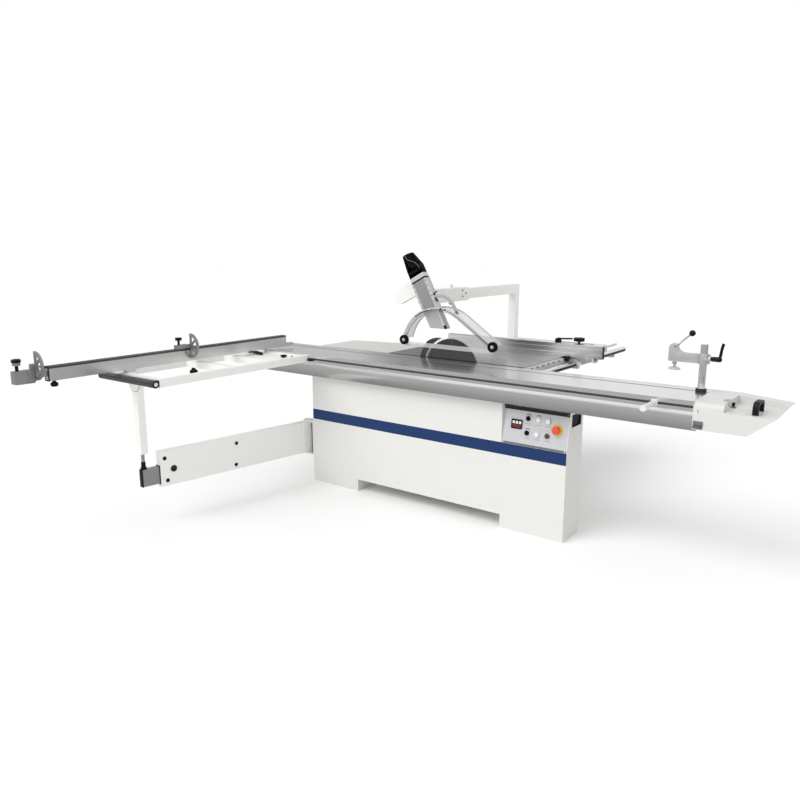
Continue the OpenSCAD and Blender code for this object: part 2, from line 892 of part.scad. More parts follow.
// Tilting frame: two quarter discs in the cradles, a back plate and the scoring arm
module tilt_frame() color([0.45, 0.46, 0.48]) {
    for (s = [-1, 1]) {
        inner = s * (tilt_x - tilt_lap);
        outer = s * (tilt_x + tilt_t);
        along_x(min(inner, outer), max(inner, outer)) intersection() {
            translate([0, table_z]) circle(tilt_r - run_gap);
            patch([0, table_z - tilt_r], [tilt_r, tilt_top]);
        }
    }
    plate_high = table_z - sqrt(pow(tilt_r - run_gap, 2) - pow(back_y + back_t, 2)) + back_lap;
    for (s = [-1, 1])
        block_x(s * back_gap, s * back_out, back_y, back_y + back_t, back_low, plate_high);
    block([-back_gap, back_y, back_low], [back_gap, back_y + back_t, back_low + back_bar]);
    half = scoring_arm / 2;
    difference() {
        block([scoring_x - half, scoring_arm_y, scoring_z - half],
            [scoring_x + half, back_y, scoring_z + half - tilt_drop]);
        rod_y(scoring_shaft_r + pin_gap, scoring_arm_y - cut, back_y, scoring_x, scoring_z);
    }
    rod_y(scoring_motor_r, back_y + back_t, back_y + back_t + scoring_motor_l, scoring_x,
        scoring_z - back_lap);
}

// Rising slide with the arbor housing, the motor shelf and the riving knife's arm
module lift_slide() color([0.55, 0.56, 0.58]) difference() {
    shelf_z = motor_z - motor_r - motor_foot - shelf_t;
    knife_arm_z = arbor_z - knife_arm_drop;
    union() {
        block([-slide_half, slide_y, arbor_z - slide_down],
            [slide_half, back_y - run_gap, arbor_z + slide_up]);
        rod_y(housing_r, housing_y, rear_plate_y + rear_plate, 0, arbor_z);
        along_y(rear_plate_y, rear_plate_y + rear_plate) {
            polygon([[motor_x - shelf_half, shelf_z], [motor_x + shelf_half, shelf_z],
                [housing_r, arbor_z], [-housing_r, arbor_z], [motor_x - shelf_half, motor_z]]);
            translate([0, arbor_z]) circle(housing_r);
        }
        block([motor_x - shelf_half, rear_plate_y, shelf_z],
            [motor_x + shelf_half, motor_y + motor_l, shelf_z + shelf_t]);
        block([-knife_out, housing_y, knife_arm_z], [0, slide_y, knife_arm_z + knife_arm_h]);
        block([-knife_out, knife_t / 2, knife_arm_z], [-knife_in, housing_y, knife_arm_z + knife_arm_h]);
    }
    rod_y(arbor_r + pin_gap, housing_y - cut, rear_plate_y + rear_plate + cut, 0, arbor_z);
    rod_y(shaft_hole_r, rear_plate_y - cut, rear_plate_y + rear_plate + cut, motor_x, motor_z);
}

// Riving knife: a sickle behind the blade, with a shank down to its arm
module riving_knife() color([0.6, 0.6, 0.62]) along_y(-knife_t / 2, knife_t / 2)
    translate([0, arbor_z]) {
        intersection() {
            difference() {
                circle(knife_out);
                circle(knife_in);
            }
            polygon([[0, 0], for (a = [knife_from : (knife_to - knife_from) / 6 : knife_to])
                knife_out * 2 * [cos(a), sin(a)]]);
        }
        patch([-knife_out, -knife_arm_drop], [-knife_in, 0]);
    }

// Drive motor on its feet with cooling ribs
module motor() color([0.25, 0.27, 0.3]) difference() {
    union() {
        rod_y(motor_r - motor_rib, motor_y, motor_y + motor_l, motor_x, motor_z);
        rib_step = motor_l / motor_ribs;
        for (i = [0 : motor_ribs - 1]) rod_y(motor_r, motor_y + rib_step * i,
            motor_y + rib_step * (i + motor_rib_share), motor_x, motor_z);
        block([motor_x - motor_r, motor_y, motor_z - motor_r - motor_foot],
            [motor_x + motor_r, motor_y + motor_l, motor_z - motor_r * motor_rib_share]);
    }
    rod_y(motor_shaft_r + pin_gap, motor_y - cut, motor_y + motor_l / 2, motor_x, motor_z);
}

// Arbor with its flanges, nut and belt pulley
module arbor() color("silver") {
    rod_y(arbor_r, -nut_l - flange_t, pulley_y + pulley_w, 0, arbor_z);
    rod_y(flange_r, blade_t / 2, blade_t / 2 + flange_t, 0, arbor_z);
    rod_y(flange_r, -blade_t / 2 - flange_t, -blade_t / 2, 0, arbor_z);
    rod_y(arbor_r + nut_l / 2, -blade_t / 2 - flange_t - nut_l, -blade_t / 2 - flange_t, 0, arbor_z);
    rod_y(pulley_r, pulley_y, pulley_y + pulley_w, 0, arbor_z);
}

// Saw blade: a toothed disc with expansion slots
module saw_blade() color([0.6, 0.61, 0.63]) along_y(-blade_t / 2, blade_t / 2)
    translate([0, arbor_z]) difference() {
        toothed_disc(blade_r, teeth, tooth_h);
        circle(arbor_r + pin_gap);
        for (i = [0 : slots - 1]) rotate(i * 360 / slots) {
            patch([blade_r - slot_l, -slot_w / 2], [blade_r, slot_w / 2]);
            translate([blade_r - slot_l, 0]) circle(slot_w);
        }
    }
// Saw-tooth outline: a gullet, a raked face and a sloping back for each tooth
module toothed_disc(r, n, h) polygon([for (i = [0 : n - 1], k = [0 : 2])
    let (a = (i + tooth_shares[k]) * 360 / n, rr = k == 1 ? r : r - h) rr * [cos(a), -sin(a)]]);

// Pulley on the motor's shaft
module motor_pulley() color("silver") {
    rod_y(motor_pulley_r, pulley_y, pulley_y + pulley_w, motor_x, motor_z);
    rod_y(motor_shaft_r, pulley_y, motor_y + motor_l / 2 - run_gap, motor_x, motor_z);
}

// Drive belt round both pulleys, with straight runs between them
module drive_belt() color([0.1, 0.1, 0.1]) along_y(pulley_y, pulley_y + pulley_w) difference() {
    belt_outline(belt_t + run_gap);
    belt_outline(run_gap);
}
// Closed outline round both pulleys: an arc on each and the straight runs between them
module belt_outline(grow) {
    span = norm([motor_x, motor_z - arbor_z]);
    wrap = acos((pulley_r - motor_pulley_r) / span);
    far_step = (360 - wrap * 2) / belt_steps;
    near_step = wrap * 2 / belt_steps;
    translate([0, arbor_z]) rotate(atan2(motor_z - arbor_z, motor_x)) polygon(concat(
        [for (i = [0 : belt_steps]) let (a = wrap + far_step * i) (pulley_r + grow) * [cos(a), sin(a)]],
        [for (i = [0 : belt_steps]) let (a = near_step * i - wrap)
            [span, 0] + (motor_pulley_r + grow) * [cos(a), sin(a)]]));
}

// Scoring blade and its short shaft
module scoring_blade() color([0.6, 0.61, 0.63]) {
    along_y(-scoring_t / 2, scoring_t / 2) translate([scoring_x, scoring_z])
        toothed_disc(scoring_r, scoring_teeth, scoring_t);
    rod_y(scoring_shaft_r * 2, scoring_t / 2, scoring_t / 2 + flange_t, scoring_x, scoring_z);
    rod_y(scoring_shaft_r, scoring_t / 2, back_y - run_gap, scoring_x, scoring_z);
}

// Sleeve on the overhead arm with the head that guides the hood
module guard_sleeve() color("white") {
    grow = sleeve_gap + sleeve_wall;
    left = guard_x - stand_w / 2 - grow;
    right = guard_x + stand_w / 2 + grow;
    low = stand_z - stand_h - grow;
    tube_y([left, sleeve_front, low], [right, sleeve_back, stand_z + grow], sleeve_wall);
    along_y(head_y + head_t, sleeve_front) patch([left, low], [right, stand_z + grow]);
    along_y(head_y, head_y + head_t)
        strap([head_far_x, head_far_z], [head_near_x, head_near_z], head_w);
}

// Hood frame: local z up the leaning hood, from the middle of its mouth
module at_hood() translate([hood_x, 0, hood_z]) rotate([0, -hood_lean, 0]) children();

// Leaning extraction hood, open at the mouth and at the top, with the rail on its back
module hood() color("silver") difference() {
    at_hood() {
        difference() {
            block([-hood_w / 2, -hood_d / 2, -hood_mouth], [hood_w / 2, hood_d / 2, hood_l]);
            block([hood_wall - hood_w / 2, hood_wall - hood_d / 2, -hood_mouth - cut],
                [hood_w / 2 - hood_wall, hood_d / 2 - hood_wall, hood_l - hood_wall]);
            rod_z(hood_d / 2 - hood_wall * 2, 0, hood_l + cut, 0, 0);
        }
        block([-rail_half, hood_d / 2, rail_low], [rail_half, head_y - run_gap, rail_high]);
    }
    block([hood_x - hood_l, -hood_d, hood_z - hood_l], [hood_x + hood_l, hood_d, hood_z]);
}

// Rubber reducer from the hood to the hose spigot, flattened to the hood's depth
module hood_reducer() color([0.08, 0.08, 0.08]) at_hood() translate([0, 0, hood_l]) difference() {
    union() {
        intersection() {
            cylinder(r1 = cone_r, r2 = spigot_r, h = cone_l);
            along_x(-cone_r, cone_r) polygon([[-hood_d / 2, 0], [hood_d / 2, 0],
                [spigot_r + cone_over, cone_l], [-spigot_r - cone_over, cone_l]]);
        }
        translate([0, 0, cone_l]) cylinder(r = spigot_r, h = spigot_l);
    }
    translate([0, 0, -cut]) cylinder(r = hood_d / 2 - hood_wall * 2, h = cone_l + spigot_l);
    translate([0, 0, cone_l]) cylinder(r = spigot_r - reducer_wall, h = spigot_l + cut);
}

// Curved guard band over the blade, its side bar and the wheel axles
module arch_guard() color([0.85, 0.88, 0.9, 0.6]) {
    near = -arch_w / 2;
    difference() {
        along_y(near, arch_w / 2) arch_outline();
        at_hood() block([-hood_w / 2 - seat_gap, -hood_d / 2 - seat_gap, -hood_mouth],
            [hood_w / 2 + seat_gap, hood_d / 2 + seat_gap, hood_l]);
    }
    along_y(near - shield_t, near) {
        patch([wheel_left, table_z + shield_up], [wheel_right, table_z + shield_up + shield_h]);
        for (p = wheel_places) translate(p) circle(lug_r);
        arch_outline();
    }
    for (p = wheel_places) rod_y(axle_r, near - shield_t - wheel_w - wheel_dish, near, p.x, p.y);
}
// Arch outline: a round left part that runs into a straight right leg
module arch_outline() {
    out = [cos(arch_turn), sin(arch_turn)];
    start = [arch_x, arch_z] + arch_r * out;
    way = [sin(arch_turn), -cos(arch_turn)] * arch_leg;
    polygon([start, start + way, start + way - out * arch_t, start - out * arch_t]);
    translate([arch_x, arch_z]) intersection() {
        difference() {
            circle(arch_r);
            circle(arch_r - arch_t);
        }
        polygon([[0, 0], for (a = [arch_turn : (arch_from - arch_turn) / 6 : arch_from])
            arch_r * 2 * [cos(a), sin(a)]]);
    }
}

// Guard wheel with a dished face
module guard_wheel(p) color([0.08, 0.08, 0.08]) {
    face = -arch_w / 2 - shield_t - run_gap;
    difference() {
        rod_y(wheel_r, face - wheel_w, face, p.x, p.y);
        rod_y(axle_r + pin_gap, face - wheel_w - cut, face + cut, p.x, p.y);
        rod_y(wheel_r * rim_share, face - wheel_w - cut, face - wheel_w + wheel_dish, p.x, p.y);
    }
}
module wheel_front() guard_wheel(wheel_places[0]);
module wheel_rear() guard_wheel(wheel_places[1]);

// Carriage extrusion: T-slot in its front, a guide channel below and a thin back lip
module sliding_table() color([0.75, 0.76, 0.77])
    along_x(carriage_right - carriage_l, carriage_right) difference() {
        union() {
            patch([-carriage_front, carriage_z], [-carriage_web, table_z]);
            patch([-carriage_web, table_z - carriage_skin], [-carriage_back, table_z]);
        }
        patch([-carriage_front - cut, slot_z - slot_mouth / 2],
            [slot_lip - carriage_front, slot_z + slot_mouth / 2]);
        patch([slot_lip - carriage_front, slot_z - slot_wide / 2],
            [slot_deep - carriage_front, slot_z + slot_wide / 2]);
        patch([-tongue_front - run_gap, carriage_z - cut],
            [run_gap - tongue_back, beam_top + tongue_h + channel_top]);
        patch([slot_deep + carriage_wall - carriage_front, carriage_z + carriage_wall],
            [-tongue_front - carriage_wall, table_z - carriage_skin]);
        patch([carriage_wall - tongue_back, carriage_z + carriage_wall],
            [-carriage_web - carriage_wall, table_z - carriage_skin]);
        groove_y = -carriage_back - groove_in;
        for (y = [groove_y, groove_y - groove_step])
            patch([y, table_z - groove_w], [y + groove_w, table_z + cut]);
    }

// White end cover: a flat lead-in, a hand well and a skirt with a slanted end
module end_cover() color("white") {
    end = cover_x + cover_l;
    well = cover_x + cover_flat;
    toe = cover_x + cover_l - cover_toe;
    front = -carriage_front;
    floor_z = cover_well - cover_wall;
    strip = -cover_strip - cover_wall;
    top = table_z - cover_wall;
    difference() {
        union() {
            block([cover_x, front, top], [well, -carriage_back, table_z]);
            block([well, strip, top], [end, -carriage_back, table_z]);
            block([well - cover_wall, front, floor_z], [well, -cover_strip, table_z]);
            block([well - cover_wall, front, floor_z], [end - cover_nose, -cover_strip, cover_well]);
            block([well - cover_wall, strip, floor_z], [end, -cover_strip, table_z]);
            block([end - cover_wall, strip, floor_z], [end, -carriage_back, table_z]);
            along_y(front, front + cover_wall) polygon([[cover_x, cover_low], [toe, cover_low],
                [end - cover_nose, cover_rim], [well, cover_rim], [well, table_z], [cover_x, table_z]]);
            block([cover_x, -carriage_back - cover_wall, table_z - carriage_skin],
                [end, -carriage_back, table_z]);
            rod_z(button_r + cover_wall, floor_z, cover_well + button_seat, button_x, button_y);
        }
        rod_z(button_stem_r + run_gap, floor_z - cut, cover_well + button_seat + cut, button_x, button_y);
    }
}

// Black bow handle in the hand well
module cover_handle() color([0.07, 0.07, 0.07]) {
    top = cover_well + grip_h;
    for (s = [-1, 1]) rod_z(grip_r, cover_well, top, grip_x, grip_y + s * grip_l / 2);
    rod_y(grip_r, grip_y - grip_l / 2, grip_y + grip_l / 2, grip_x, top);
    for (s = [-1, 1]) translate([grip_x, grip_y + s * grip_l / 2, top]) sphere(grip_r);
}

// Carriage lock button on its raised seat
module lock_button() color([0.07, 0.07, 0.07]) {
    seat = cover_well + button_seat + button_travel;
    rod_z(button_r, seat + seat_gap, seat + button_h, button_x, button_y);
    rod_z(button_stem_r, cover_well, seat + button_h, button_x, button_y);
}

// Push bar on the carriage's front slot, with its foot and end grip
module push_bar() color("white") {
    tip = -carriage_front - push_l;
    block([push_x - push_foot / 2, -carriage_front - push_foot_t, slot_z - push_foot / 2],
        [push_x + push_foot / 2, -carriage_front, slot_z + push_foot / 2]);
    rod_y(push_r, tip, -carriage_front, push_x, slot_z);
    rod_y(push_r + push_cap_over, tip - push_cap, tip, push_x, slot_z);
}

// Clamp column with its black nut
module clamp_column() color("silver") {
    rod_z(column_r, table_z, table_z + column_h, clamp_x, clamp_y);
    rod_z(clamp_foot_r, table_z, table_z + clamp_foot_h, clamp_x, clamp_y);
}

// Cast clamp arm: a hub on the column, a straight arm and a raised nose with a fork
module clamp_arm() color([0.7, 0.71, 0.72]) difference() {
    clamp_high = clamp_z + clamp_arm_h;
    shaft_z = clamp_z + clamp_arm_h / 2;
    bend = clamp_tip + clamp_nose / 2 + clamp_bend;
    union() {
        rod_z(clamp_hub_r, clamp_z, clamp_high, clamp_x, clamp_y);
        along_y(clamp_y - clamp_arm_t / 2, clamp_y + clamp_arm_t / 2) {
            patch([clamp_tip, clamp_z], [clamp_x, clamp_high]);
            soft_patch([clamp_tip - clamp_nose / 2, clamp_z],
                [clamp_tip + clamp_nose / 2, clamp_high + clamp_nose_up], lever_hub_r);
            difference() {
                patch([clamp_tip, clamp_z], [bend, clamp_high + clamp_bend]);
                translate([bend, clamp_high + clamp_bend]) circle(clamp_bend);
            }
        }
        rod_x(handle_r * 2, clamp_x, clamp_x + clamp_hub_r + handle_r, clamp_y, shaft_z);
    }
    rod_z(column_r + pin_gap, clamp_z - cut, clamp_high + cut, clamp_x, clamp_y);
    rod_z(plunger_r + pin_gap, clamp_z - cut, clamp_high + plunger_travel, clamp_tip, clamp_y);
    block([clamp_tip - clamp_nose, clamp_y - lever_fork / 2 - run_gap, clamp_high],
        [clamp_tip + clamp_nose, clamp_y + lever_fork / 2 + run_gap, clamp_high + clamp_nose_up + cut]);
    rod_y(lever_r + pin_gap, clamp_y - clamp_arm_t, clamp_y + clamp_arm_t, clamp_tip, lever_z);
    rod_x(handle_shaft_r + pin_gap, clamp_x, clamp_x + clamp_hub_r + handle_r + cut, clamp_y, shaft_z);
}

// Eccentric lever with its pivot pin, rod and ball
module clamp_lever() color([0.07, 0.07, 0.07]) {
    rod_y(lever_hub_r, clamp_y - lever_fork / 2, clamp_y + lever_fork / 2, clamp_tip, lever_z);
    rod_y(lever_r, clamp_y - clamp_arm_t / 2, clamp_y + clamp_arm_t / 2, clamp_tip, lever_z);
    translate([clamp_tip, clamp_y, lever_z]) rotate([0, 90 - lever_angle, 0]) {
        cylinder(r = lever_r, h = lever_l);
        translate([0, 0, lever_l]) sphere(lever_ball);
    }
}

// Plunger with its swivel pad
module clamp_plunger() color("silver") {
    rod_z(plunger_r, clamp_z - plunger_r, clamp_z + clamp_arm_h - run_gap, clamp_tip, clamp_y);
    translate([clamp_tip, clamp_y, clamp_z - plunger_r * 2])
        cylinder(r1 = plunger_tip, r2 = plunger_r, h = plunger_r);
    translate([clamp_tip, clamp_y, clamp_z - pad_drop]) {
        cylinder(r1 = pad_r, r2 = plunger_tip * 2, h = pad_h);
        cylinder(r = plunger_tip, h = pad_drop - plunger_r);
    }
}

// Ratchet handle on the end of the clamp arm
module clamp_handle() color([0.07, 0.07, 0.07]) {
    z = clamp_z + clamp_arm_h / 2;
    face = clamp_x + clamp_hub_r + handle_r;
    rod_x(handle_shaft_r, clamp_x + column_r + seat_gap * 2, face + handle_l / 2, clamp_y, z);
    rod_x(handle_r, face + run_gap, face + handle_l, clamp_y, z);
    translate([face + handle_l - handle_r, clamp_y, z]) rotate([0, handle_tilt, 0]) {
        cylinder(r1 = handle_r * rim_share, r2 = handle_r * knob_neck_share, h = handle_up);
        translate([0, 0, handle_up]) sphere(handle_r * rim_share);
    }
}

// Welded outrigger: two long tubes, cross tubes, roller ears and the fence's pivot pin
module outrigger_frame() color("white") {
    for (s = [-1, 1]) {
        edge = frame_x + s * frame_w / 2;
        inner = edge - s * tube_w;
        tube_y([min(edge, inner), frame_y, frame_low], [max(edge, inner), -carriage_front, frame_top],
            frame_wall);
        ear = edge - s * ear_in - ear_t / 2;
        along_x(ear, ear + ear_t) difference() {
            union() {
                patch([frame_y, frame_low], [frame_y + ear_root, frame_top]);
                strap([roller_y, roller_z], [frame_y + ear_root / 2, roller_z], ear_w);
            }
            translate([roller_y, roller_z]) circle(roller_pin_r + pin_gap);
        }
    }
    half = frame_w / 2 - tube_w + frame_wall / 2;
    for (i = [0 : len(bar_shares) - 1]) {
        y = -carriage_front - frame_reach * bar_shares[i];
        difference() {
            block([frame_x - half, y - tube_w / 2, frame_low], [frame_x + half, y + tube_w / 2, frame_top]);
            block([frame_x - half - cut, y - tube_w / 2 + frame_wall, frame_low + frame_wall],
                [frame_x + half + cut, y + tube_w / 2 - frame_wall, frame_top - frame_wall]);
            if (i == knob_bar) rod_z(knob_stem_r + pin_gap, frame_low - cut, frame_low + frame_wall + cut,
                frame_x + frame_w * knob_side_share, y);
        }
    }
    rod_z(pivot_r, frame_top - frame_wall, fence_z, fence_mid, pivot_y);
}

// Grooved roller at the outer end
module end_roller() color([0.6, 0.6, 0.62]) {
    half = frame_w / 2;
    neck = ear_t / 2 + ear_gap;
    translate([frame_x, roller_y, roller_z]) difference() {
        rod_x(roller_r, -half, half, 0, 0);
        for (s = [-1, 1]) difference() {
            rod_x(roller_r + cut, s * (half - ear_in) - neck, s * (half - ear_in) + neck, 0, 0);
            rod_x(roller_pin_r, -half, half, 0, 0);
        }
        for (i = [0 : roller_count - 1]) rotate([i * 360 / roller_count, 0, 0])
            rod_x(roller_groove, -half - cut, half + cut, 0, roller_r);
    }
}

// Post under the outer end of the outrigger
module support_post() color("white") {
    half = post_w / 2;
    difference() {
        block([post_x - half, post_y - half, post_low], [post_x + half, post_y + half, frame_low]);
        block([post_x - half + frame_wall, post_y - half + frame_wall, post_low + post_plate],
            [post_x + half - frame_wall, post_y + half + cut, frame_low - post_plate]);
    }
    block([post_x - half, min(frame_y, post_y - half), frame_low - post_plate],
        [post_x + half, max(frame_y + tube_w, post_y + half), frame_low]);
}

// Clamping knob below the outrigger
module frame_knob() color([0.07, 0.07, 0.07])
    translate([frame_x + frame_w * knob_side_share, -carriage_front - frame_reach * bar_shares[knob_bar],
        frame_low - run_gap]) mirror([0, 0, 1])
        hand_knob(knob_r, knob_h, knob_stem_r, knob_stem, frame_wall);

// Crosscut fence extrusion with a top slot, a hollow for its extension, feet and a nose
module crosscut_fence() color([0.72, 0.73, 0.74]) difference() {
    union() {
        block([fence_x, fence_end, fence_z], [fence_x + fence_t, fence_y, fence_top]);
        rod_z(fence_foot_r, frame_top + run_gap, fence_z, fence_mid, pivot_y);
        block([fence_x, shoe_y - shoe_l / 2, frame_top + run_gap],
            [fence_x + fence_t, shoe_y + shoe_l / 2, fence_z]);
        block([fence_x + fence_t - fence_slot_d, fence_y, fence_z],
            [fence_x + fence_t, fence_y + nose_l, fence_z + nose_h]);
    }
    rod_z(pivot_r + pin_gap, frame_top, fence_z + seat_gap, fence_mid, pivot_y);
    block([fence_mid - fence_slot / 2, fence_end - cut, fence_top - fence_slot_d],
        [fence_mid + fence_slot / 2, fence_y + cut, fence_top + cut]);
    block([fence_mid - ext_t / 2 - ext_gap, fence_end - cut, ext_z - ext_gap],
        [fence_mid + ext_t / 2 + ext_gap, fence_y + cut, ext_z + ext_h + ext_gap]);
}

// Extension bar in the crosscut fence with its end block, knob and stop pin
module fence_extension() color([0.7, 0.71, 0.72]) {
    block([fence_mid - ext_t / 2, end_y, ext_z], [fence_mid + ext_t / 2, fence_end + ext_in, ext_z + ext_h]);
    along_y(end_y - end_l, end_y) soft_patch([fence_mid - end_t / 2, end_z],
        [fence_mid + end_t / 2, end_z + end_h], stop_round);
    along_y(end_y - flip_lug, end_y) {
        translate([flip_x, flip_z]) circle(flip_hub_r);
        patch([flip_x - flip_hub_r, end_z + end_h - cut], [flip_x + flip_hub_r, flip_z]);
    }
    rod_y(flip_pin_r, end_y, end_y + flip_t + run_gap * 2, flip_x, flip_z);
    translate([fence_mid, end_y - end_l + end_knob_in, end_z + end_h])
        hand_knob(knob_r, knob_h, knob_stem_r, knob_stem, knob_root);
}

// Stop block that slides on top of the crosscut fence
module stop_block() color([0.7, 0.71, 0.72]) difference() {
    union() {
        along_y(stop_y, stop_y + stop_l) soft_patch([fence_mid - stop_t / 2, stop_z],
            [fence_mid + stop_t / 2, stop_z + stop_h], stop_round);
        block([fence_mid - fence_slot / 2 + run_gap, stop_y, stop_z - tongue_d],
            [fence_mid + fence_slot / 2 - run_gap, stop_y + stop_l, stop_z + tongue_d]);
        rod_y(flip_pin_r, stop_y + stop_l, stop_y + stop_l + flip_t + run_gap * 2, flip_x, flip_z);
    }
    rod_z(knob_stem_r + pin_gap, stop_z + stop_h - knob_root, stop_z + stop_h + cut, fence_mid,
        stop_y + knob_r);
}

// Half-moon stop plate with spokes, on a hub that turns about Y
module flip_plate(y) color([0.6, 0.61, 0.62]) along_y(y + run_gap, y + run_gap + flip_t) difference() {
    face = fence_x + fence_t + run_gap;
    union() {
        translate([flip_x, flip_z]) circle(flip_hub_r);
        translate([face, flip_z]) intersection() {
            union() {
                difference() {
                    circle(flip_r);
                    circle(flip_r * rim_share);
                }
                for (a = [0, flip_spoke_angle, -flip_spoke_angle]) rotate(a)
                    translate([0, -flip_spoke / 2]) square([flip_r * (1 + rim_share) / 2, flip_spoke]);
                patch([0, -flip_r], [flip_spoke, flip_r]);
            }
            intersection() {
                patch([0, -flip_r], [flip_r, flip_r]);
                circle(flip_r);
            }
        }
    }
    translate([flip_x, flip_z]) circle(flip_pin_r + pin_gap);
}
module flip_stop() flip_plate(stop_y + stop_l);
module end_flip() flip_plate(end_y);

// Knob that clamps the stop block
module stop_knob() color([0.07, 0.07, 0.07])
    translate([fence_mid, stop_y + knob_r, stop_z + stop_h + run_gap])
        hand_knob(knob_r, knob_h, knob_stem_r, knob_stem, knob_root);

// Cast carrier of the rip fence, open below so that it passes the arms under the bar
module rip_carrier() color([0.8, 0.81, 0.82]) {
    back = carrier_y + carrier_l;
    sleeve_end = carrier_y + carrier_sleeve;
    difference() {
        union() {
            rod_y(sleeve_r, carrier_y, sleeve_end, bar_x, bar_z);
            block([cam_x - carrier_left, carrier_y, table_z + carrier_lift], [bar_x, back, carrier_top]);
            block([carrier_x, carrier_y, bar_z], [carrier_x + carrier_w, back, carrier_top]);
        }
        rod_y(bar_r + pin_gap, carrier_y - cut, sleeve_end + cut, bar_x, bar_z);
        block([bar_x - carrier_w, carrier_y - cut, bar_z - sleeve_r - cut],
            [bar_x + carrier_w, sleeve_end + cut, bar_z - bar_r * carrier_open_share]);
        block([bar_x + sleeve_r, carrier_y - cut, bar_z - cut],
            [bar_x + carrier_w, back + cut, table_z]);
        rod_z(knob_stem_r + pin_gap, carrier_top - knob_root, carrier_top + cut, rip_knob_x, carrier_mid);
    }
    for (s = [-1, 1]) {
        near = carrier_mid + s * (cam_t + run_gap);
        far = near + s * cam_ear;
        along_y(min(near, far), max(near, far)) {
            translate([cam_x, cam_z]) circle(cam_r);
            patch([cam_x - cam_r, carrier_top], [cam_x + cam_r, cam_z]);
        }
    }
    rod_y(cam_pin_r, carrier_mid - cam_t - cam_ear, carrier_mid + cam_t + cam_ear, cam_x, cam_z);
}

// Rip fence extrusion with hollow chambers
module rip_fence() color([0.74, 0.75, 0.76]) along_x(rip_x, rip_x + rip_l) difference() {
    low = table_z + rip_lift;
    patch([rip_y, low], [rip_y + rip_t, low + rip_h]);
    for (i = [0, 1]) patch([rip_y + rip_wall, low + rip_wall + i * rip_h / 2],
        [rip_y + rip_t - rip_wall, low + rip_h / 2 + i * rip_h / 2 - rip_wall]);
}

// Cam lever that locks the carrier
module rip_lever() color([0.07, 0.07, 0.07]) difference() {
    union() {
        rod_y(cam_r, carrier_mid - cam_t, carrier_mid + cam_t, cam_x, cam_z);
        along_y(carrier_mid - cam_t / 2, carrier_mid + cam_t / 2)
            translate([cam_x, cam_z + cam_r * cam_top_share]) polygon([[0, -cam_w * 2],
                [cam_l - cam_w, cam_rise - cam_w * 2], [cam_l, cam_rise - cam_w],
                [cam_l - cam_w, cam_rise], [0, 0]]);
    }
    rod_y(cam_pin_r + pin_gap, carrier_mid - cam_t - cut, carrier_mid + cam_t + cut, cam_x, cam_z);
}

// Lobed knob for the fine setting
module rip_knob() color([0.07, 0.07, 0.07])
    translate([rip_knob_x, carrier_mid, carrier_top + run_gap])
        hand_knob(rip_knob_r, rip_knob_h, knob_stem_r, rip_knob_stem, knob_root);

// Swing arm frame: local -Y along the arm from its pivot
module at_arm() translate([hinge_x, hinge_y, 0]) rotate(-arm_angle) children();

// Folded swing arm with its hinge bore, the bore of its ram and a hollow above it
module swing_arm() color("white") at_arm() difference() {
    half = arm_t / 2;
    union() {
        block([-half, -arm_l, arm_z], [half, 0, arm_top]);
        rod_z(half, arm_z, arm_top, 0, 0);
    }
    block([-ram_t / 2 - ext_gap, -arm_l - cut, ram_z - ext_gap],
        [ram_t / 2 + ext_gap, -arm_root, ram_z + ram_h + ext_gap]);
    block([arm_wall - half, arm_wall - arm_l, ram_z + ram_h + arm_wall * 2],
        [half - arm_wall, -arm_root, arm_top - arm_wall]);
    rod_z(hinge_pin_r + pin_gap, arm_z - cut, arm_top + cut, 0, 0);
}

// Hollow ram that slides out of the swing arm, with the threaded stem below the post
module arm_slide() color([0.6, 0.61, 0.62]) at_arm() {
    tube_y([-ram_t / 2, -stem_at - ram_past, ram_z], [ram_t / 2, ram_in - arm_l, ram_z + ram_h], ram_wall);
    rod_z(stem_r, ram_z + ram_h - ram_wall, post_low - run_gap, 0, -stem_at);
}

base_shell();
base_feet();
rear_cabinet();
main_table();
outfeed_table();
side_table();
guide_beam();
rail_bar();
scale_rail();
control_panel();
display_unit();
guard_stand();
trunnions();
tilt_frame();
lift_slide();
riving_knife();
motor();
arbor();
saw_blade();
motor_pulley();
drive_belt();
scoring_blade();
guard_sleeve();
hood();
hood_reducer();
arch_guard();
wheel_front();
wheel_rear();
sliding_table();
end_cover();
cover_handle();
lock_button();
push_bar();
clamp_column();
clamp_arm();
clamp_lever();
clamp_plunger();
clamp_handle();
outrigger_frame();
end_roller();
support_post();
frame_knob();
crosscut_fence();
fence_extension();
stop_block();
flip_stop();
stop_knob();
end_flip();
rip_carrier();
rip_fence();
rip_lever();
rip_knob();
swing_arm();
arm_slide();
main_switch();
mode_selector();
axis_selector();
start_button();
stop_button();
key_switch();
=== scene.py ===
"""Dress the sliding table saw: finishes for its solids and the fittings that the solids leave out."""
import json
import logging
import math
from dataclasses import dataclass, field
from enum import Enum
from functools import lru_cache
from typing import Any, Callable, Sequence

import bpy
from mathutils import Matrix, Vector


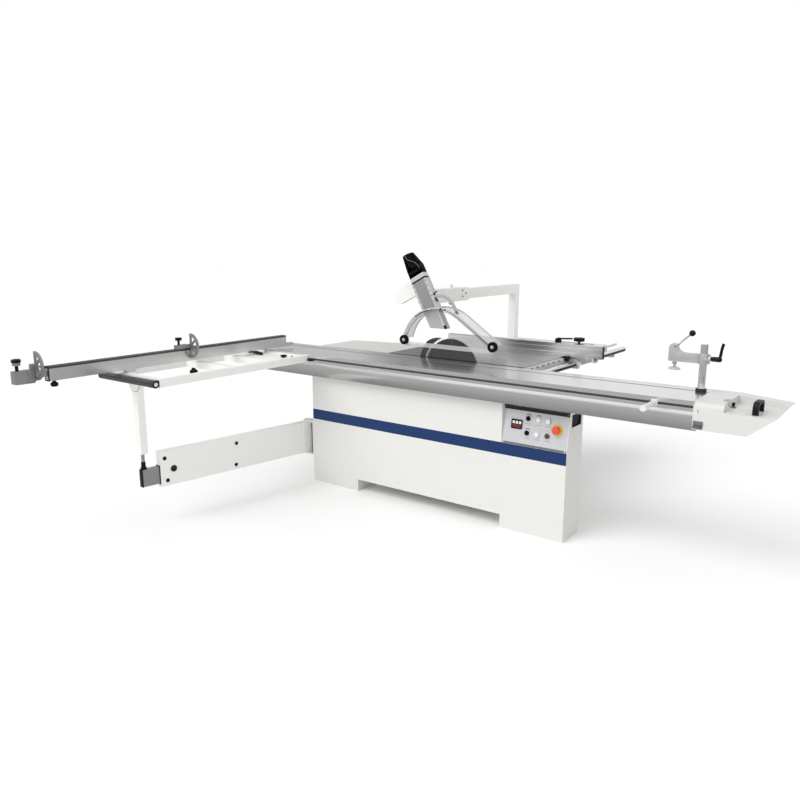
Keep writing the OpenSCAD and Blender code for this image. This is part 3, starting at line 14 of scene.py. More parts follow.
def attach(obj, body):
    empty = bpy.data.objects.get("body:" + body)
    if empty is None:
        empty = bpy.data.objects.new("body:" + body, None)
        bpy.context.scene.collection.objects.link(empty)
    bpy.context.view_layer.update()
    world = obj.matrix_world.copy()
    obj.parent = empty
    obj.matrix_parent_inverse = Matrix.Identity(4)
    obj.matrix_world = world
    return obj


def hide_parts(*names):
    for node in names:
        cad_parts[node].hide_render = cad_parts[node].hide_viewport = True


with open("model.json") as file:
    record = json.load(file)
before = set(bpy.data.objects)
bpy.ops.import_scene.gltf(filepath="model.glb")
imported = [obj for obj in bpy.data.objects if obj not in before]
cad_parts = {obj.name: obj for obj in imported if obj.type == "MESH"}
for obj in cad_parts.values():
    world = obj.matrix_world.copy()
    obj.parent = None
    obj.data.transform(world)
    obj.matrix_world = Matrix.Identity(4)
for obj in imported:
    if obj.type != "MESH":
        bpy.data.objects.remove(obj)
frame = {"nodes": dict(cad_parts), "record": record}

logging.basicConfig(level=logging.INFO, format="%(message)s")
LOG = logging.getLogger("saw")
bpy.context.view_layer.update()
MM = 0.001
FACING = 0.99
LEFT, RIGHT = Vector((-1, 0, 0)), Vector((1, 0, 0))
NEAR, FAR = Vector((0, -1, 0)), Vector((0, 1, 0))
DOWN, UP = Vector((0, 0, -1)), Vector((0, 0, 1))
Piece = bpy.types.Object
Tree = bpy.types.NodeTree
Socket = bpy.types.NodeSocket
Pair = tuple[float, float]
Triple = tuple[float, float, float]


def mm(x: float, y: float, z: float) -> Vector:
    """A point or a step given in millimetres, in metres."""
    return Vector((x, y, z)) * MM


def rounded(x: float, y: float, z: float, radius: float, angle: float) -> Vector:
    """Point on an upright circle that faces the front, from its centre and radius in millimetres and its angle."""
    turn = math.radians(angle)
    return mm(x + radius * math.cos(turn), y, z + radius * math.sin(turn))


def grey(level: float) -> Triple:
    """A neutral colour of one level."""
    return level, level, level


def feed(tree: Tree, target: bpy.types.Node, inputs: dict[str | int, Any]) -> None:
    """Fill the inputs of a node.

    Args:
        tree: node tree that holds it.
        target: the node.
        inputs: for each input a socket to link, or a constant to set.
    """
    for key, value in inputs.items():
        if isinstance(value, Socket):
            tree.links.new(value, target.inputs[key])
        else:
            target.inputs[key].default_value = value


def node(tree: Tree, kind: str, inputs: dict[str | int, Any] | None = None, **settings: Any) -> bpy.types.Node:
    """Add a shader node.

    Args:
        tree: node tree that gets it.
        kind: its type, without the leading ShaderNode.
        inputs: for each input a socket to link, or a constant to set.
        settings: its other settings.

    Returns:
        The node.
    """
    made = tree.nodes.new("ShaderNode" + kind)
    for name, value in settings.items():
        setattr(made, name, value)
    feed(tree, made, inputs or {})
    return made


class Way(Enum):
    """Direction that the drawn or ground lines of a metal run in."""

    NONE = (1.0, 1.0, 1.0)
    ALONG_X = (0.03, 1.0, 1.0)
    ALONG_Y = (1.0, 0.03, 1.0)
    ALONG_Z = (1.0, 1.0, 0.03)


@dataclass(frozen=True)
class Finish:
    """A procedural finish with its colour, gloss and grain."""

    name: str
    colour: Triple
    roughness: float
    metallic: float = 0.0
    way: Way = Way.NONE
    scale: float = 900.0
    bump: float = 0.1
    tone: float = 0.06
    gloss_drift: float = 0.08
    coat: float = 0.0
    alpha: float = 1.0
    gloss: float = 0.5

    def shade(self, factor: float) -> tuple[float, ...]:
        """The finish's colour made lighter or darker by a factor."""
        return tuple(min(1.0, c * factor) for c in self.colour) + (1.0,)

    def coordinates(self, tree: Tree) -> Socket:
        """The Object coordinates, stretched the way the grain runs."""
        place = node(tree, "TexCoord").outputs["Object"]
        return node(tree, "Mapping", {"Vector": place, "Scale": self.way.value}).outputs["Vector"]

    def noise(self, tree: Tree, where: Socket, share: float, detail: float) -> Socket:
        """A grey pattern as fine as a share of the finish's scale, with octaves of finer grain."""
        return node(tree, "TexNoise", {"Vector": where, "Scale": self.scale * share, "Detail": detail}).outputs["Fac"]

    def colouring(self, tree: Tree, where: Socket) -> Socket:
        """Add the colour with its soft drift over the surface.

        Args:
            tree: the material's node tree.
            where: coordinates that the pattern reads.

        Returns:
            The colour.
        """
        ramp = node(tree, "ValToRGB", {"Fac": self.noise(tree, where, 0.04, 4.0)})
        for stop, place, factor in zip(ramp.color_ramp.elements, (0.3, 0.7), (1.0 - self.tone, 1.0 + self.tone)):
            stop.position = place
            stop.color = self.shade(factor)
        return ramp.outputs["Color"]

    def build(self) -> bpy.types.Material:
        """Make the material from nodes.

        Returns:
            The finished material.
        """
        made = bpy.data.materials.new(self.name)
        made.use_nodes = True
        tree = made.node_tree
        where = self.coordinates(tree)
        rough = node(tree, "MapRange", {"Value": self.noise(tree, where, 0.15, 3.0),
                                        "To Min": max(0.02, self.roughness - self.gloss_drift),
                                        "To Max": min(1.0, self.roughness + self.gloss_drift)})
        rise = node(tree, "Bump", {"Strength": self.bump, "Distance": 0.0004,
                                   "Height": self.noise(tree, where, 1.0, 2.0)})
        feed(tree, tree.nodes["Principled BSDF"], {
            "Base Color": self.colouring(tree, where), "Roughness": rough.outputs["Result"],
            "Normal": rise.outputs["Normal"], "Metallic": self.metallic, "Coat Weight": self.coat,
            "Specular IOR Level": self.gloss, "Alpha": self.alpha})
        if self.alpha < 1.0:
            made.surface_render_method = "BLENDED"
        return made


@dataclass(frozen=True)
class BandedFinish(Finish):
    """A finish with one plain band of another colour between two heights, up to a plane across the saw."""

    band: Triple = (0.006, 0.034, 0.128)
    low: float = 442.0
    high: float = 512.0
    front: float = -294.7

    def colouring(self, tree: Tree, where: Socket) -> Socket:
        """Add the finish's colour, with the band where it belongs.

        Args:
            tree: the material's node tree.
            where: coordinates that the pattern reads.

        Returns:
            The colour.
        """
        split = node(tree, "SeparateXYZ", {"Vector": where})
        inside = 1.0
        for axis, test, limit in (("Z", "GREATER_THAN", self.low), ("Z", "LESS_THAN", self.high),
                                  ("Y", "LESS_THAN", self.front)):
            step = node(tree, "Math", {0: split.outputs[axis], 1: limit * MM}, operation=test)
            inside = node(tree, "Math", {0: inside, 1: step.outputs["Value"]}, operation="MULTIPLY").outputs["Value"]
        return node(tree, "Mix", {"Factor": inside, "A": super().colouring(tree, where), "B": self.band + (1.0,)},
                    data_type="RGBA").outputs["Result"]


@dataclass(frozen=True)
class PaintedShadeFinish(Finish):
    """A finish with painted shade: it grows darker from one height down to another, in place of dim reflections."""

    foot: float = 0.62
    low: float = 758.0
    high: float = 846.0

    def colouring(self, tree: Tree, where: Socket) -> Socket:
        """Add the finish's colour with painted shade, darker towards its foot.

        Args:
            tree: the material's node tree.
            where: coordinates that the pattern reads.

        Returns:
            The colour.
        """
        split = node(tree, "SeparateXYZ", {"Vector": where})
        fade = node(tree, "MapRange", {"Value": split.outputs["Z"], "From Min": self.low * MM,
                                       "From Max": self.high * MM, "To Min": self.foot})
        return node(tree, "VectorMath", {"Vector": super().colouring(tree, where), "Scale": fade.outputs["Result"]},
                    operation="SCALE").outputs["Vector"]


@lru_cache(maxsize=None)
def material(finish: Finish) -> bpy.types.Material:
    """The material of a finish, made once."""
    return finish.build()


PAINT = (0.745, 0.74, 0.715)
WHITE = Finish("white_powder_coat", PAINT, 0.42, scale=1400, bump=0.06, tone=0.012, gloss_drift=0.05)
SNOW = Finish("bright_white_coat", (0.90, 0.895, 0.87), 0.40, scale=1400, bump=0.05, tone=0.010, gloss_drift=0.05)
FRONT = BandedFinish("white_powder_coat_with_band", PAINT, 0.42, scale=1400, gloss=0.35, bump=0.06, tone=0.012,
                     gloss_drift=0.05)
LIGHT = Finish("light_satin_coat", (0.66, 0.66, 0.63), 0.38, scale=1200, bump=0.05, tone=0.02, gloss_drift=0.06)
IRON = Finish("ground_cast_iron", (0.46, 0.46, 0.465), 0.20, 0.9, Way.ALONG_X, 700, 0.004, 0.008, 0.004)
ALU_X = Finish("anodised_drawn_lengthwise", grey(0.79), 0.19, 0.95, Way.ALONG_X, 800, 0.004, 0.006, 0.004)
# Guide beam: its front face is darker towards the foot, painted shade standing in for dim reflections.
BEAM = PaintedShadeFinish("anodised_hollow_face", grey(0.88), 0.19, 0.95, Way.ALONG_X, 800, 0.004, 0.006, 0.004)
# Crosscut fence: its top face is painted dark grey, a painted shadow of the slot along the top.
FENCE = BandedFinish("anodised_with_dark_top", grey(0.64), 0.26, 0.95, Way.ALONG_Y, 800, 0.004, 0.006, 0.004,
                     band=(0.11, 0.11, 0.114), low=977.5, high=1100, front=0)
CAST = Finish("die_cast_aluminium", (0.55, 0.555, 0.56), 0.46, 0.8, scale=500, bump=0.05, tone=0.03, gloss_drift=0.04)
CAST_DARK = Finish("sand_cast_aluminium", (0.36, 0.362, 0.366), 0.48, 0.8, scale=500, bump=0.08, tone=0.05,
                   gloss_drift=0.04)
CARRIER = BandedFinish("die_cast_with_black_ears", (0.50, 0.505, 0.51), 0.46, 0.8, scale=500, bump=0.05, tone=0.03,
                       gloss_drift=0.04, band=grey(0.005), low=979, high=1100, front=2000)
CHROME = Finish("bright_chrome", (0.80, 0.80, 0.81), 0.10, 1.0, scale=300, bump=0.005, tone=0.02, gloss_drift=0.02)
# Rail bar: chrome whose lower part is painted near-black, a painted reflection of dark surroundings below it.
BAR_PAINTED_REFLECTION = BandedFinish("chrome_with_dark_underside", (0.82, 0.82, 0.83), 0.12, 1.0, scale=300, bump=0.005, tone=0.02,
                   gloss_drift=0.02, band=grey(0.004), low=0, high=856, front=2000)
STEEL = Finish("ground_steel", (0.24, 0.24, 0.242), 0.30, 0.95, Way.ALONG_X, 900, 0.03, 0.04, 0.04)
BRIGHT = Finish("bright_steel", (0.58, 0.58, 0.585), 0.26, 0.95, Way.ALONG_Z, 900, 0.02, 0.03, 0.03)
BLADE = Finish("dark_ground_blade", (0.085, 0.085, 0.087), 0.34, 0.9, Way.NONE, 900, 0.04, 0.05, 0.05)
ROLLER = Finish("dark_drawn_roller", (0.17, 0.17, 0.172), 0.24, 0.95, Way.ALONG_X, 800, 0.015, 0.03, 0.03)
RAM = Finish("zinc_plated_tube", (0.46, 0.46, 0.465), 0.34, 0.9, Way.ALONG_Y, 800, 0.02, 0.03, 0.03)
HOOD = Finish("silver_hood_coat", grey(0.42), 0.36, 0.75, Way.ALONG_Z, 600, 0.03, 0.04, 0.04)
MID = Finish("mid_silver_coat", (0.50, 0.50, 0.497), 0.42, 0.4, scale=700, bump=0.03, tone=0.03)
SILVER = Finish("light_silver_edge", (0.62, 0.62, 0.615), 0.40, 0.3, scale=700, bump=0.03, tone=0.03)
BLACK = Finish("black_moulded_plastic", grey(0.004), 0.44, scale=1100, bump=0.10, tone=0.15, gloss=0.22)
PANEL = Finish("grey_panel_coat", (0.545, 0.555, 0.57), 0.36, scale=1300, bump=0.04, tone=0.012)
RUBBER = Finish("black_rubber", grey(0.003), 0.62, scale=800, bump=0.14, tone=0.2, gloss=0.12)
CLEAR = Finish("clear_polycarbonate", (0.70, 0.71, 0.715), 0.16, scale=120, bump=0.01, tone=0.02, gloss_drift=0.05,
               coat=0.3, alpha=0.42)
MOTOR = Finish("grey_motor_coat", (0.10, 0.11, 0.125), 0.45, 0.2, scale=600, bump=0.2, tone=0.1)
WHITE_PLASTIC = Finish("white_moulded_plastic", (0.76, 0.755, 0.735), 0.36, scale=1000, bump=0.05, tone=0.012)
COVER = Finish("pale_moulded_cover", (0.68, 0.675, 0.655), 0.40, scale=1000, bump=0.04, tone=0.010, gloss=0.4)
RED = Finish("red_orange_plastic", (0.72, 0.085, 0.025), 0.34, bump=0.06)
YELLOW = Finish("yellow_plate", (0.83, 0.50, 0.035), 0.36, bump=0.05, tone=0.05)
DARK_TRIM = Finish("dark_trim", (0.018, 0.018, 0.02), 0.46, bump=0.08, tone=0.12, gloss=0.3)
GREY_TRIM = Finish("grey_trim", (0.16, 0.16, 0.165), 0.46, bump=0.08, tone=0.08)
RED_GLASS = Finish("red_window", (0.16, 0.012, 0.014), 0.22, scale=400, bump=0.02, tone=0.15)
WINDOW = Finish("white_window", (0.84, 0.84, 0.83), 0.30, scale=400, bump=0.02, tone=0.02)
BRASS = Finish("worn_brass", (0.20, 0.115, 0.05), 0.34, 0.9, Way.ALONG_X, 700, 0.06, 0.1)
FLOOR = Finish("pale_floor", grey(0.98), 0.7, scale=40, bump=0.01, tone=0.004)

SLOT_FINISH: dict[str, Finish] = {
    "white_paint": WHITE, "light_paint": LIGHT, "cast_iron": IRON, "aluminium": ALU_X, "cast_aluminium": CAST,
    "chrome": CHROME, "steel": STEEL, "hood_metal": HOOD, "black_plastic": BLACK, "panel_grey": PANEL,
    "black_rubber": RUBBER, "clear_guard": CLEAR, "motor_grey": MOTOR, "white_plastic": WHITE_PLASTIC,
    "switch_red": RED,
}
NODE_FINISH: dict[str, Finish] = {
    "base_shell": FRONT, "guide_beam": BEAM, "crosscut_fence": FENCE, "key_switch": BRASS, "saw_blade": BLADE,
    "scoring_blade": BLADE, "end_roller": ROLLER, "arm_slide": RAM, "rail_bar": BAR_PAINTED_REFLECTION, "rip_carrier": CARRIER,
    "clamp_plunger": BRIGHT,
    **dict.fromkeys(("stop_block", "flip_stop", "end_flip", "fence_extension"), CAST_DARK),
    **dict.fromkeys(("outrigger_frame", "swing_arm", "support_post", "guard_sleeve", "guard_stand"), SNOW),
}


class Bench:
    """The operators that shape every new piece, as by hand."""

    @staticmethod
    def clear() -> None:
        """Leave edit mode and take everything out of the selection."""
        if bpy.context.object and bpy.context.object.mode != "OBJECT":
            bpy.ops.object.mode_set(mode="OBJECT")
        bpy.ops.object.select_all(action="DESELECT")

    @staticmethod
    def pick(piece: Piece) -> None:
        """Select one piece alone and make it the active one."""
        Bench.clear()
        piece.select_set(True)
        bpy.context.view_layer.objects.active = piece

    @staticmethod
    def named(name: str) -> Piece:
        """Name the active piece, settle its place into its mesh and return it."""
        piece = bpy.context.object
        piece.name = piece.data.name = name
        bpy.ops.object.transform_apply(location=True, rotation=True, scale=True)
        return piece

    @staticmethod
    def edit(select: str = "SELECT", kind: str = "FACE") -> None:
        """Go into edit mode with all of one kind selected or not."""
        bpy.ops.object.mode_set(mode="EDIT")
        bpy.ops.mesh.select_mode(type=kind)
        bpy.ops.mesh.select_all(action=select)

    @staticmethod
    def close() -> None:
        """Merge doubles, turn all faces outwards and leave edit mode."""
        bpy.ops.mesh.select_all(action="SELECT")
        bpy.ops.mesh.remove_doubles(threshold=1e-6)
        bpy.ops.mesh.normals_make_consistent(inside=False)
        bpy.ops.object.mode_set(mode="OBJECT")

    @staticmethod
    def push(step: Vector) -> None:
        """Extrude what is selected by a step."""
        bpy.ops.mesh.extrude_region_move(TRANSFORM_OT_translate={"value": step})

    @staticmethod
    def disc(name: str, sides: int, radius: float, place: Vector, turn: Sequence[float]) -> Piece:
        """Draw a filled disc, with its radius in millimetres."""
        Bench.clear()
        bpy.ops.mesh.primitive_circle_add(vertices=sides, radius=radius * MM, fill_type="NGON", location=place,
                                          rotation=turn)
        return Bench.named(name)

    @staticmethod
    def block(name: str, low: Vector, high: Vector, soft: float = 1.0, steps: int = 2) -> Piece:
        """Make a cuboid with rounded edges.

        Args:
            name: the piece's name.
            low: lowest corner.
            high: highest corner.
            soft: radius of the edges, in millimetres.
            steps: segments of each rounded edge.

        Returns:
            The piece.
        """
        Bench.clear()
        bpy.ops.mesh.primitive_cube_add(size=1.0, location=(low + high) / 2)
        bpy.context.object.scale = high - low
        piece = Bench.named(name)
        Bench.edit()
        bpy.ops.mesh.bevel(offset=soft * MM, segments=steps, affect="EDGES")
        Bench.close()
        return piece

    @staticmethod
    def turned(name: str, start: Vector, along: Vector, profile: Sequence[Pair], sides: int = 32) -> Piece:
        """Turn a piece by extruding and scaling a disc step by step.

        Args:
            name: the piece's name.
            start: point on the axis where the heights count from.
            along: direction of the axis.
            profile: pairs of radius and height, in millimetres, from one end to the other.
            sides: corners of the disc.

        Returns:
            The piece.
        """
        way = along.normalized()
        radius, height = profile[0]
        piece = Bench.disc(name, sides, radius, start + way * height * MM, way.to_track_quat("Z", "Y").to_euler())
        Bench.edit()
        for next_radius, next_height in profile[1:]:
            Bench.push(way * (next_height - height) * MM)
            if next_radius != radius:
                bpy.ops.transform.resize(value=grey(next_radius / radius),
                                         center_override=start + way * next_height * MM)
            radius, height = next_radius, next_height
        Bench.close()
        return piece

    @staticmethod
    def plate(name: str, outline: Sequence[Vector], push: Vector) -> Piece:
        """Draw an outline point by point, fill it and push it to its thickness.

        Args:
            name: the piece's name.
            outline: corners in order.
            push: step from one face to the other.

        Returns:
            The piece.
        """
        Bench.clear()
        bpy.ops.mesh.primitive_plane_add(size=MM, location=outline[0])
        piece = Bench.named(name)
        Bench.edit(kind="VERT")
        bpy.ops.mesh.merge(type="CENTER")
        for here, there in zip(outline, outline[1:]):
            bpy.ops.mesh.extrude_vertices_move(TRANSFORM_OT_translate={"value": there - here})
        bpy.ops.mesh.select_all(action="SELECT")
        bpy.ops.mesh.edge_face_add()
        Bench.push(push)
        Bench.close()
        return piece

    @staticmethod
    def choose(piece: Piece, test: Callable[[Vector, Vector], bool], fresh: bool = True) -> None:
        """Select those faces of the active piece that pass a test, in edit mode.

        Args:
            piece: the active piece.
            test: function of a face's centre and normal.
            fresh: whether edges that were selected before are left out.
        """
        if fresh:
            Bench.edit(select="DESELECT")
        bpy.ops.object.mode_set(mode="OBJECT")
        for face in piece.data.polygons:
            face.select = bool(test(face.center, face.normal))
        bpy.ops.object.mode_set(mode="EDIT")
        bpy.ops.mesh.select_mode(type="FACE")

    @staticmethod
    def opened(piece: Piece, way: Vector, rim: float) -> Piece:
        """Open the active piece from end to end, so that a rim stays.

        Args:
            piece: the active piece.
            way: direction of the opening.
            rim: width of the rim, in millimetres.

        Returns:
            The piece.
        """
        Bench.choose(piece, lambda centre, normal: abs(normal.dot(way)) > FACING)
        bpy.ops.mesh.inset(thickness=rim * MM, depth=0.0)
        bpy.ops.mesh.bridge_edge_loops()
        Bench.close()
        return piece

    @staticmethod
    def ribbon(name: str, line: Sequence[Vector], width: float, push: Vector) -> Piece:
        """Make a strip of one width along a line of points.

        Args:
            name: the piece's name.
            line: points of its middle line, in one plane.
            width: width of the strip, in millimetres.
            push: step from one face to the other, square to the plane.

        Returns:
            The piece.
        """
        legs = [(there - here).normalized() for here, there in zip(line, line[1:])]
        ways = legs[:1] + [(a + b).normalized() for a, b in zip(legs, legs[1:])] + legs[-1:]
        sides = [push.normalized().cross(way) * width * MM / 2 for way in ways]
        outline = [p + s for p, s in zip(line, sides)] + [p - s for p, s in zip(line[::-1], sides[::-1])]
        return Bench.plate(name, outline, push)

    @staticmethod
    def wire(name: str, points: Sequence[Vector], radius: float) -> Piece:
        """Draw a round bar along a smooth line through points.

        Args:
            name: the piece's name.
            points: points of its middle line.
            radius: radius of the bar, in millimetres.

        Returns:
            The piece.
        """
        Bench.clear()
        bpy.ops.curve.primitive_bezier_curve_add(location=(0.0, 0.0, 0.0))
        drawn = bpy.context.object.data
        line = drawn.splines[0].bezier_points
        line.add(len(points) - len(line))
        for knot, point in zip(line, points):
            knot.co = point
            knot.handle_left_type = knot.handle_right_type = "AUTO"
        drawn.dimensions = "3D"
        drawn.resolution_u = 6
        drawn.bevel_depth = radius * MM
        drawn.bevel_resolution = 3
        drawn.use_fill_caps = True
        bpy.ops.object.convert(target="MESH")
        piece = Bench.named(name)
        Bench.edit()
        Bench.close()
        return piece

    @staticmethod
    def bolt(name: str, seat: Vector, along: Vector, radius: float) -> Piece:
        """Turn a bolt head with a socket, on its seat."""
        return Bench.turned(name, seat, along, [(radius, -0.4), (radius, radius * 0.5), (radius * 0.84, radius * 0.7),
                                                (radius * 0.5, radius * 0.72), (radius * 0.42, radius * 0.25)], 16)

    @staticmethod
    def star(name: str, start: Vector, along: Vector, radius: float, height: float, lobes: int = 5) -> Piece:
        """Turn a hand knob and pull its grips out of the rim.

        Args:
            name: the piece's name.
            start: foot of the knob.
            along: direction of its axis.
            radius: radius over the grips, in millimetres.
            height: height, in millimetres.
            lobes: number of grips.

        Returns:
            The piece.
        """
        core, way = radius * 0.86, along.normalized()
        piece = Bench.turned(name, start, along, [
            (radius * 0.45, 0), (radius * 0.5, height * 0.26), (core * 0.93, height * 0.34), (core, height * 0.44),
            (core, height * 0.84), (core * 0.86, height * 0.96), (radius * 0.3, height)], lobes * 4)
        side = way.orthogonal()
        other = way.cross(side)

        def is_grip(centre: Vector, normal: Vector) -> bool:
            """Tell whether a rim face belongs to a grip."""
            if abs(normal.dot(way)) > 0.2 or (centre - start).cross(way).length < core * 0.9 * MM:
                return False
            turn = math.atan2((centre - start).dot(other), (centre - start).dot(side)) / math.tau
            return math.floor(turn % 1.0 * lobes * 4 + 0.25) % 4 < 2

        Bench.choose(piece, is_grip)
        bpy.ops.mesh.inset(thickness=radius * 0.03 * MM, depth=radius * 0.14 * MM)
        Bench.close()
        return piece

    @staticmethod
    def modified(piece: Piece, kind: str, **settings: Any) -> Piece:
        """Apply one modifier to a piece.

        Args:
            piece: the piece.
            kind: type of the modifier.
            settings: settings of the modifier.

        Returns:
            The piece.
        """
        Bench.pick(piece)
        bpy.ops.object.modifier_add(type=kind)
        step = piece.modifiers[-1]
        for name, value in settings.items():
            setattr(step, name, value)
        bpy.ops.object.modifier_apply(modifier=step.name)
        return piece

    @staticmethod
    def combined(piece: Piece, other: Piece, way: str = "DIFFERENCE") -> Piece:
        """Cut a piece with another one, or melt the two into one solid, and use up the other one."""
        Bench.modified(piece, "BOOLEAN", operation=way, solver="EXACT", object=other)
        bpy.data.objects.remove(other, do_unlink=True)
        return piece

    @staticmethod
    def softened(piece: Piece, width: float, steps: int = 2) -> Piece:
        """Round every sharp edge of a piece by a width in millimetres."""
        return Bench.modified(piece, "BEVEL", width=width * MM, segments=steps, limit_method="ANGLE",
                              angle_limit=math.radians(38.0))

    @staticmethod
    def row(piece: Piece, count: int, step: Vector) -> Piece:
        """Repeat a mark in a row, as one piece."""
        return Bench.modified(piece, "ARRAY", count=count, use_relative_offset=False, use_constant_offset=True,
                              constant_offset_displace=step)

    @staticmethod
    def copied(piece: Piece, name: str, step: Vector) -> Piece:
        """Copy a piece with its own mesh, move the copy and name it."""
        Bench.pick(piece)
        bpy.ops.object.duplicate()
        bpy.ops.transform.translate(value=step)
        return Bench.named(name)

    @staticmethod
    def joined(name: str, pieces: Sequence[Piece]) -> Piece:
        """Join several pieces into one mesh under a new name."""
        Bench.pick(pieces[0])
        for piece in pieces[1:]:
            piece.select_set(True)
        bpy.ops.object.join()
        return Bench.named(name)

    @staticmethod
    def done(piece: Piece, body: str, slot: str, finish: Finish, angle: float = 32.0) -> None:
        """Smooth a piece, give it its finish and set it on its body.

        Args:
            piece: the finished mesh.
            body: body of the saw that carries it.
            slot: material slot of the record that it stands for; not used.
            finish: finish that it wears.
            angle: edges sharper than this stay sharp, in degrees.
        """
        Bench.pick(piece)
        bpy.ops.object.shade_smooth_by_angle(angle=math.radians(angle))
        piece.data.materials.clear()
        piece.data.materials.append(material(finish))
        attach(piece, body)
        LOG.info("piece %s on %s in %s", piece.name, body, finish.name)

    @staticmethod
    def fit(body: str, *rows: tuple[Piece, str, Finish]) -> None:
        """Finish several pieces on one body, each given as a piece, a slot and a finish."""
        for piece, slot, finish in rows:
            Bench.done(piece, body, slot, finish)

    @staticmethod
    def repeated(first: Piece, spots: Sequence[Vector], body: str, slot: str, finish: Finish) -> None:
        """Finish a piece and copies of it at further spots.

        Args:
            first: the piece, at the first spot, with a name that ends in _1.
            spots: where the piece and its copies stand.
            body: body of the saw that carries them.
            slot: material slot that they stand for.
            finish: finish that they wear.
        """
        stem = first.name.rsplit("_", 1)[0]
        for index, spot in enumerate(spots[1:], 2):
            Bench.done(Bench.copied(first, f"{stem}_{index}", spot - spots[0]), body, slot, finish)
        Bench.done(first, body, slot, finish)


@dataclass
class CarriedSolids:
    """The solids of the part, each with the finish of its slot."""

    own: dict[str, Finish] = field(default_factory=lambda: dict(NODE_FINISH))

    def dress(self) -> None:
        """Give every solid its finish."""
        slots = {part["node"]: part["material_slot"] for part in frame["record"]["subparts"]}
        for name, solid in frame["nodes"].items():
            finish = self.own.get(name, SLOT_FINISH[slots[name]])
            if not solid.material_slots:
                solid.data.materials.append(None)
            for held in solid.material_slots:
                held.material = material(finish)
            LOG.info("solid %s in %s", name, finish.name)


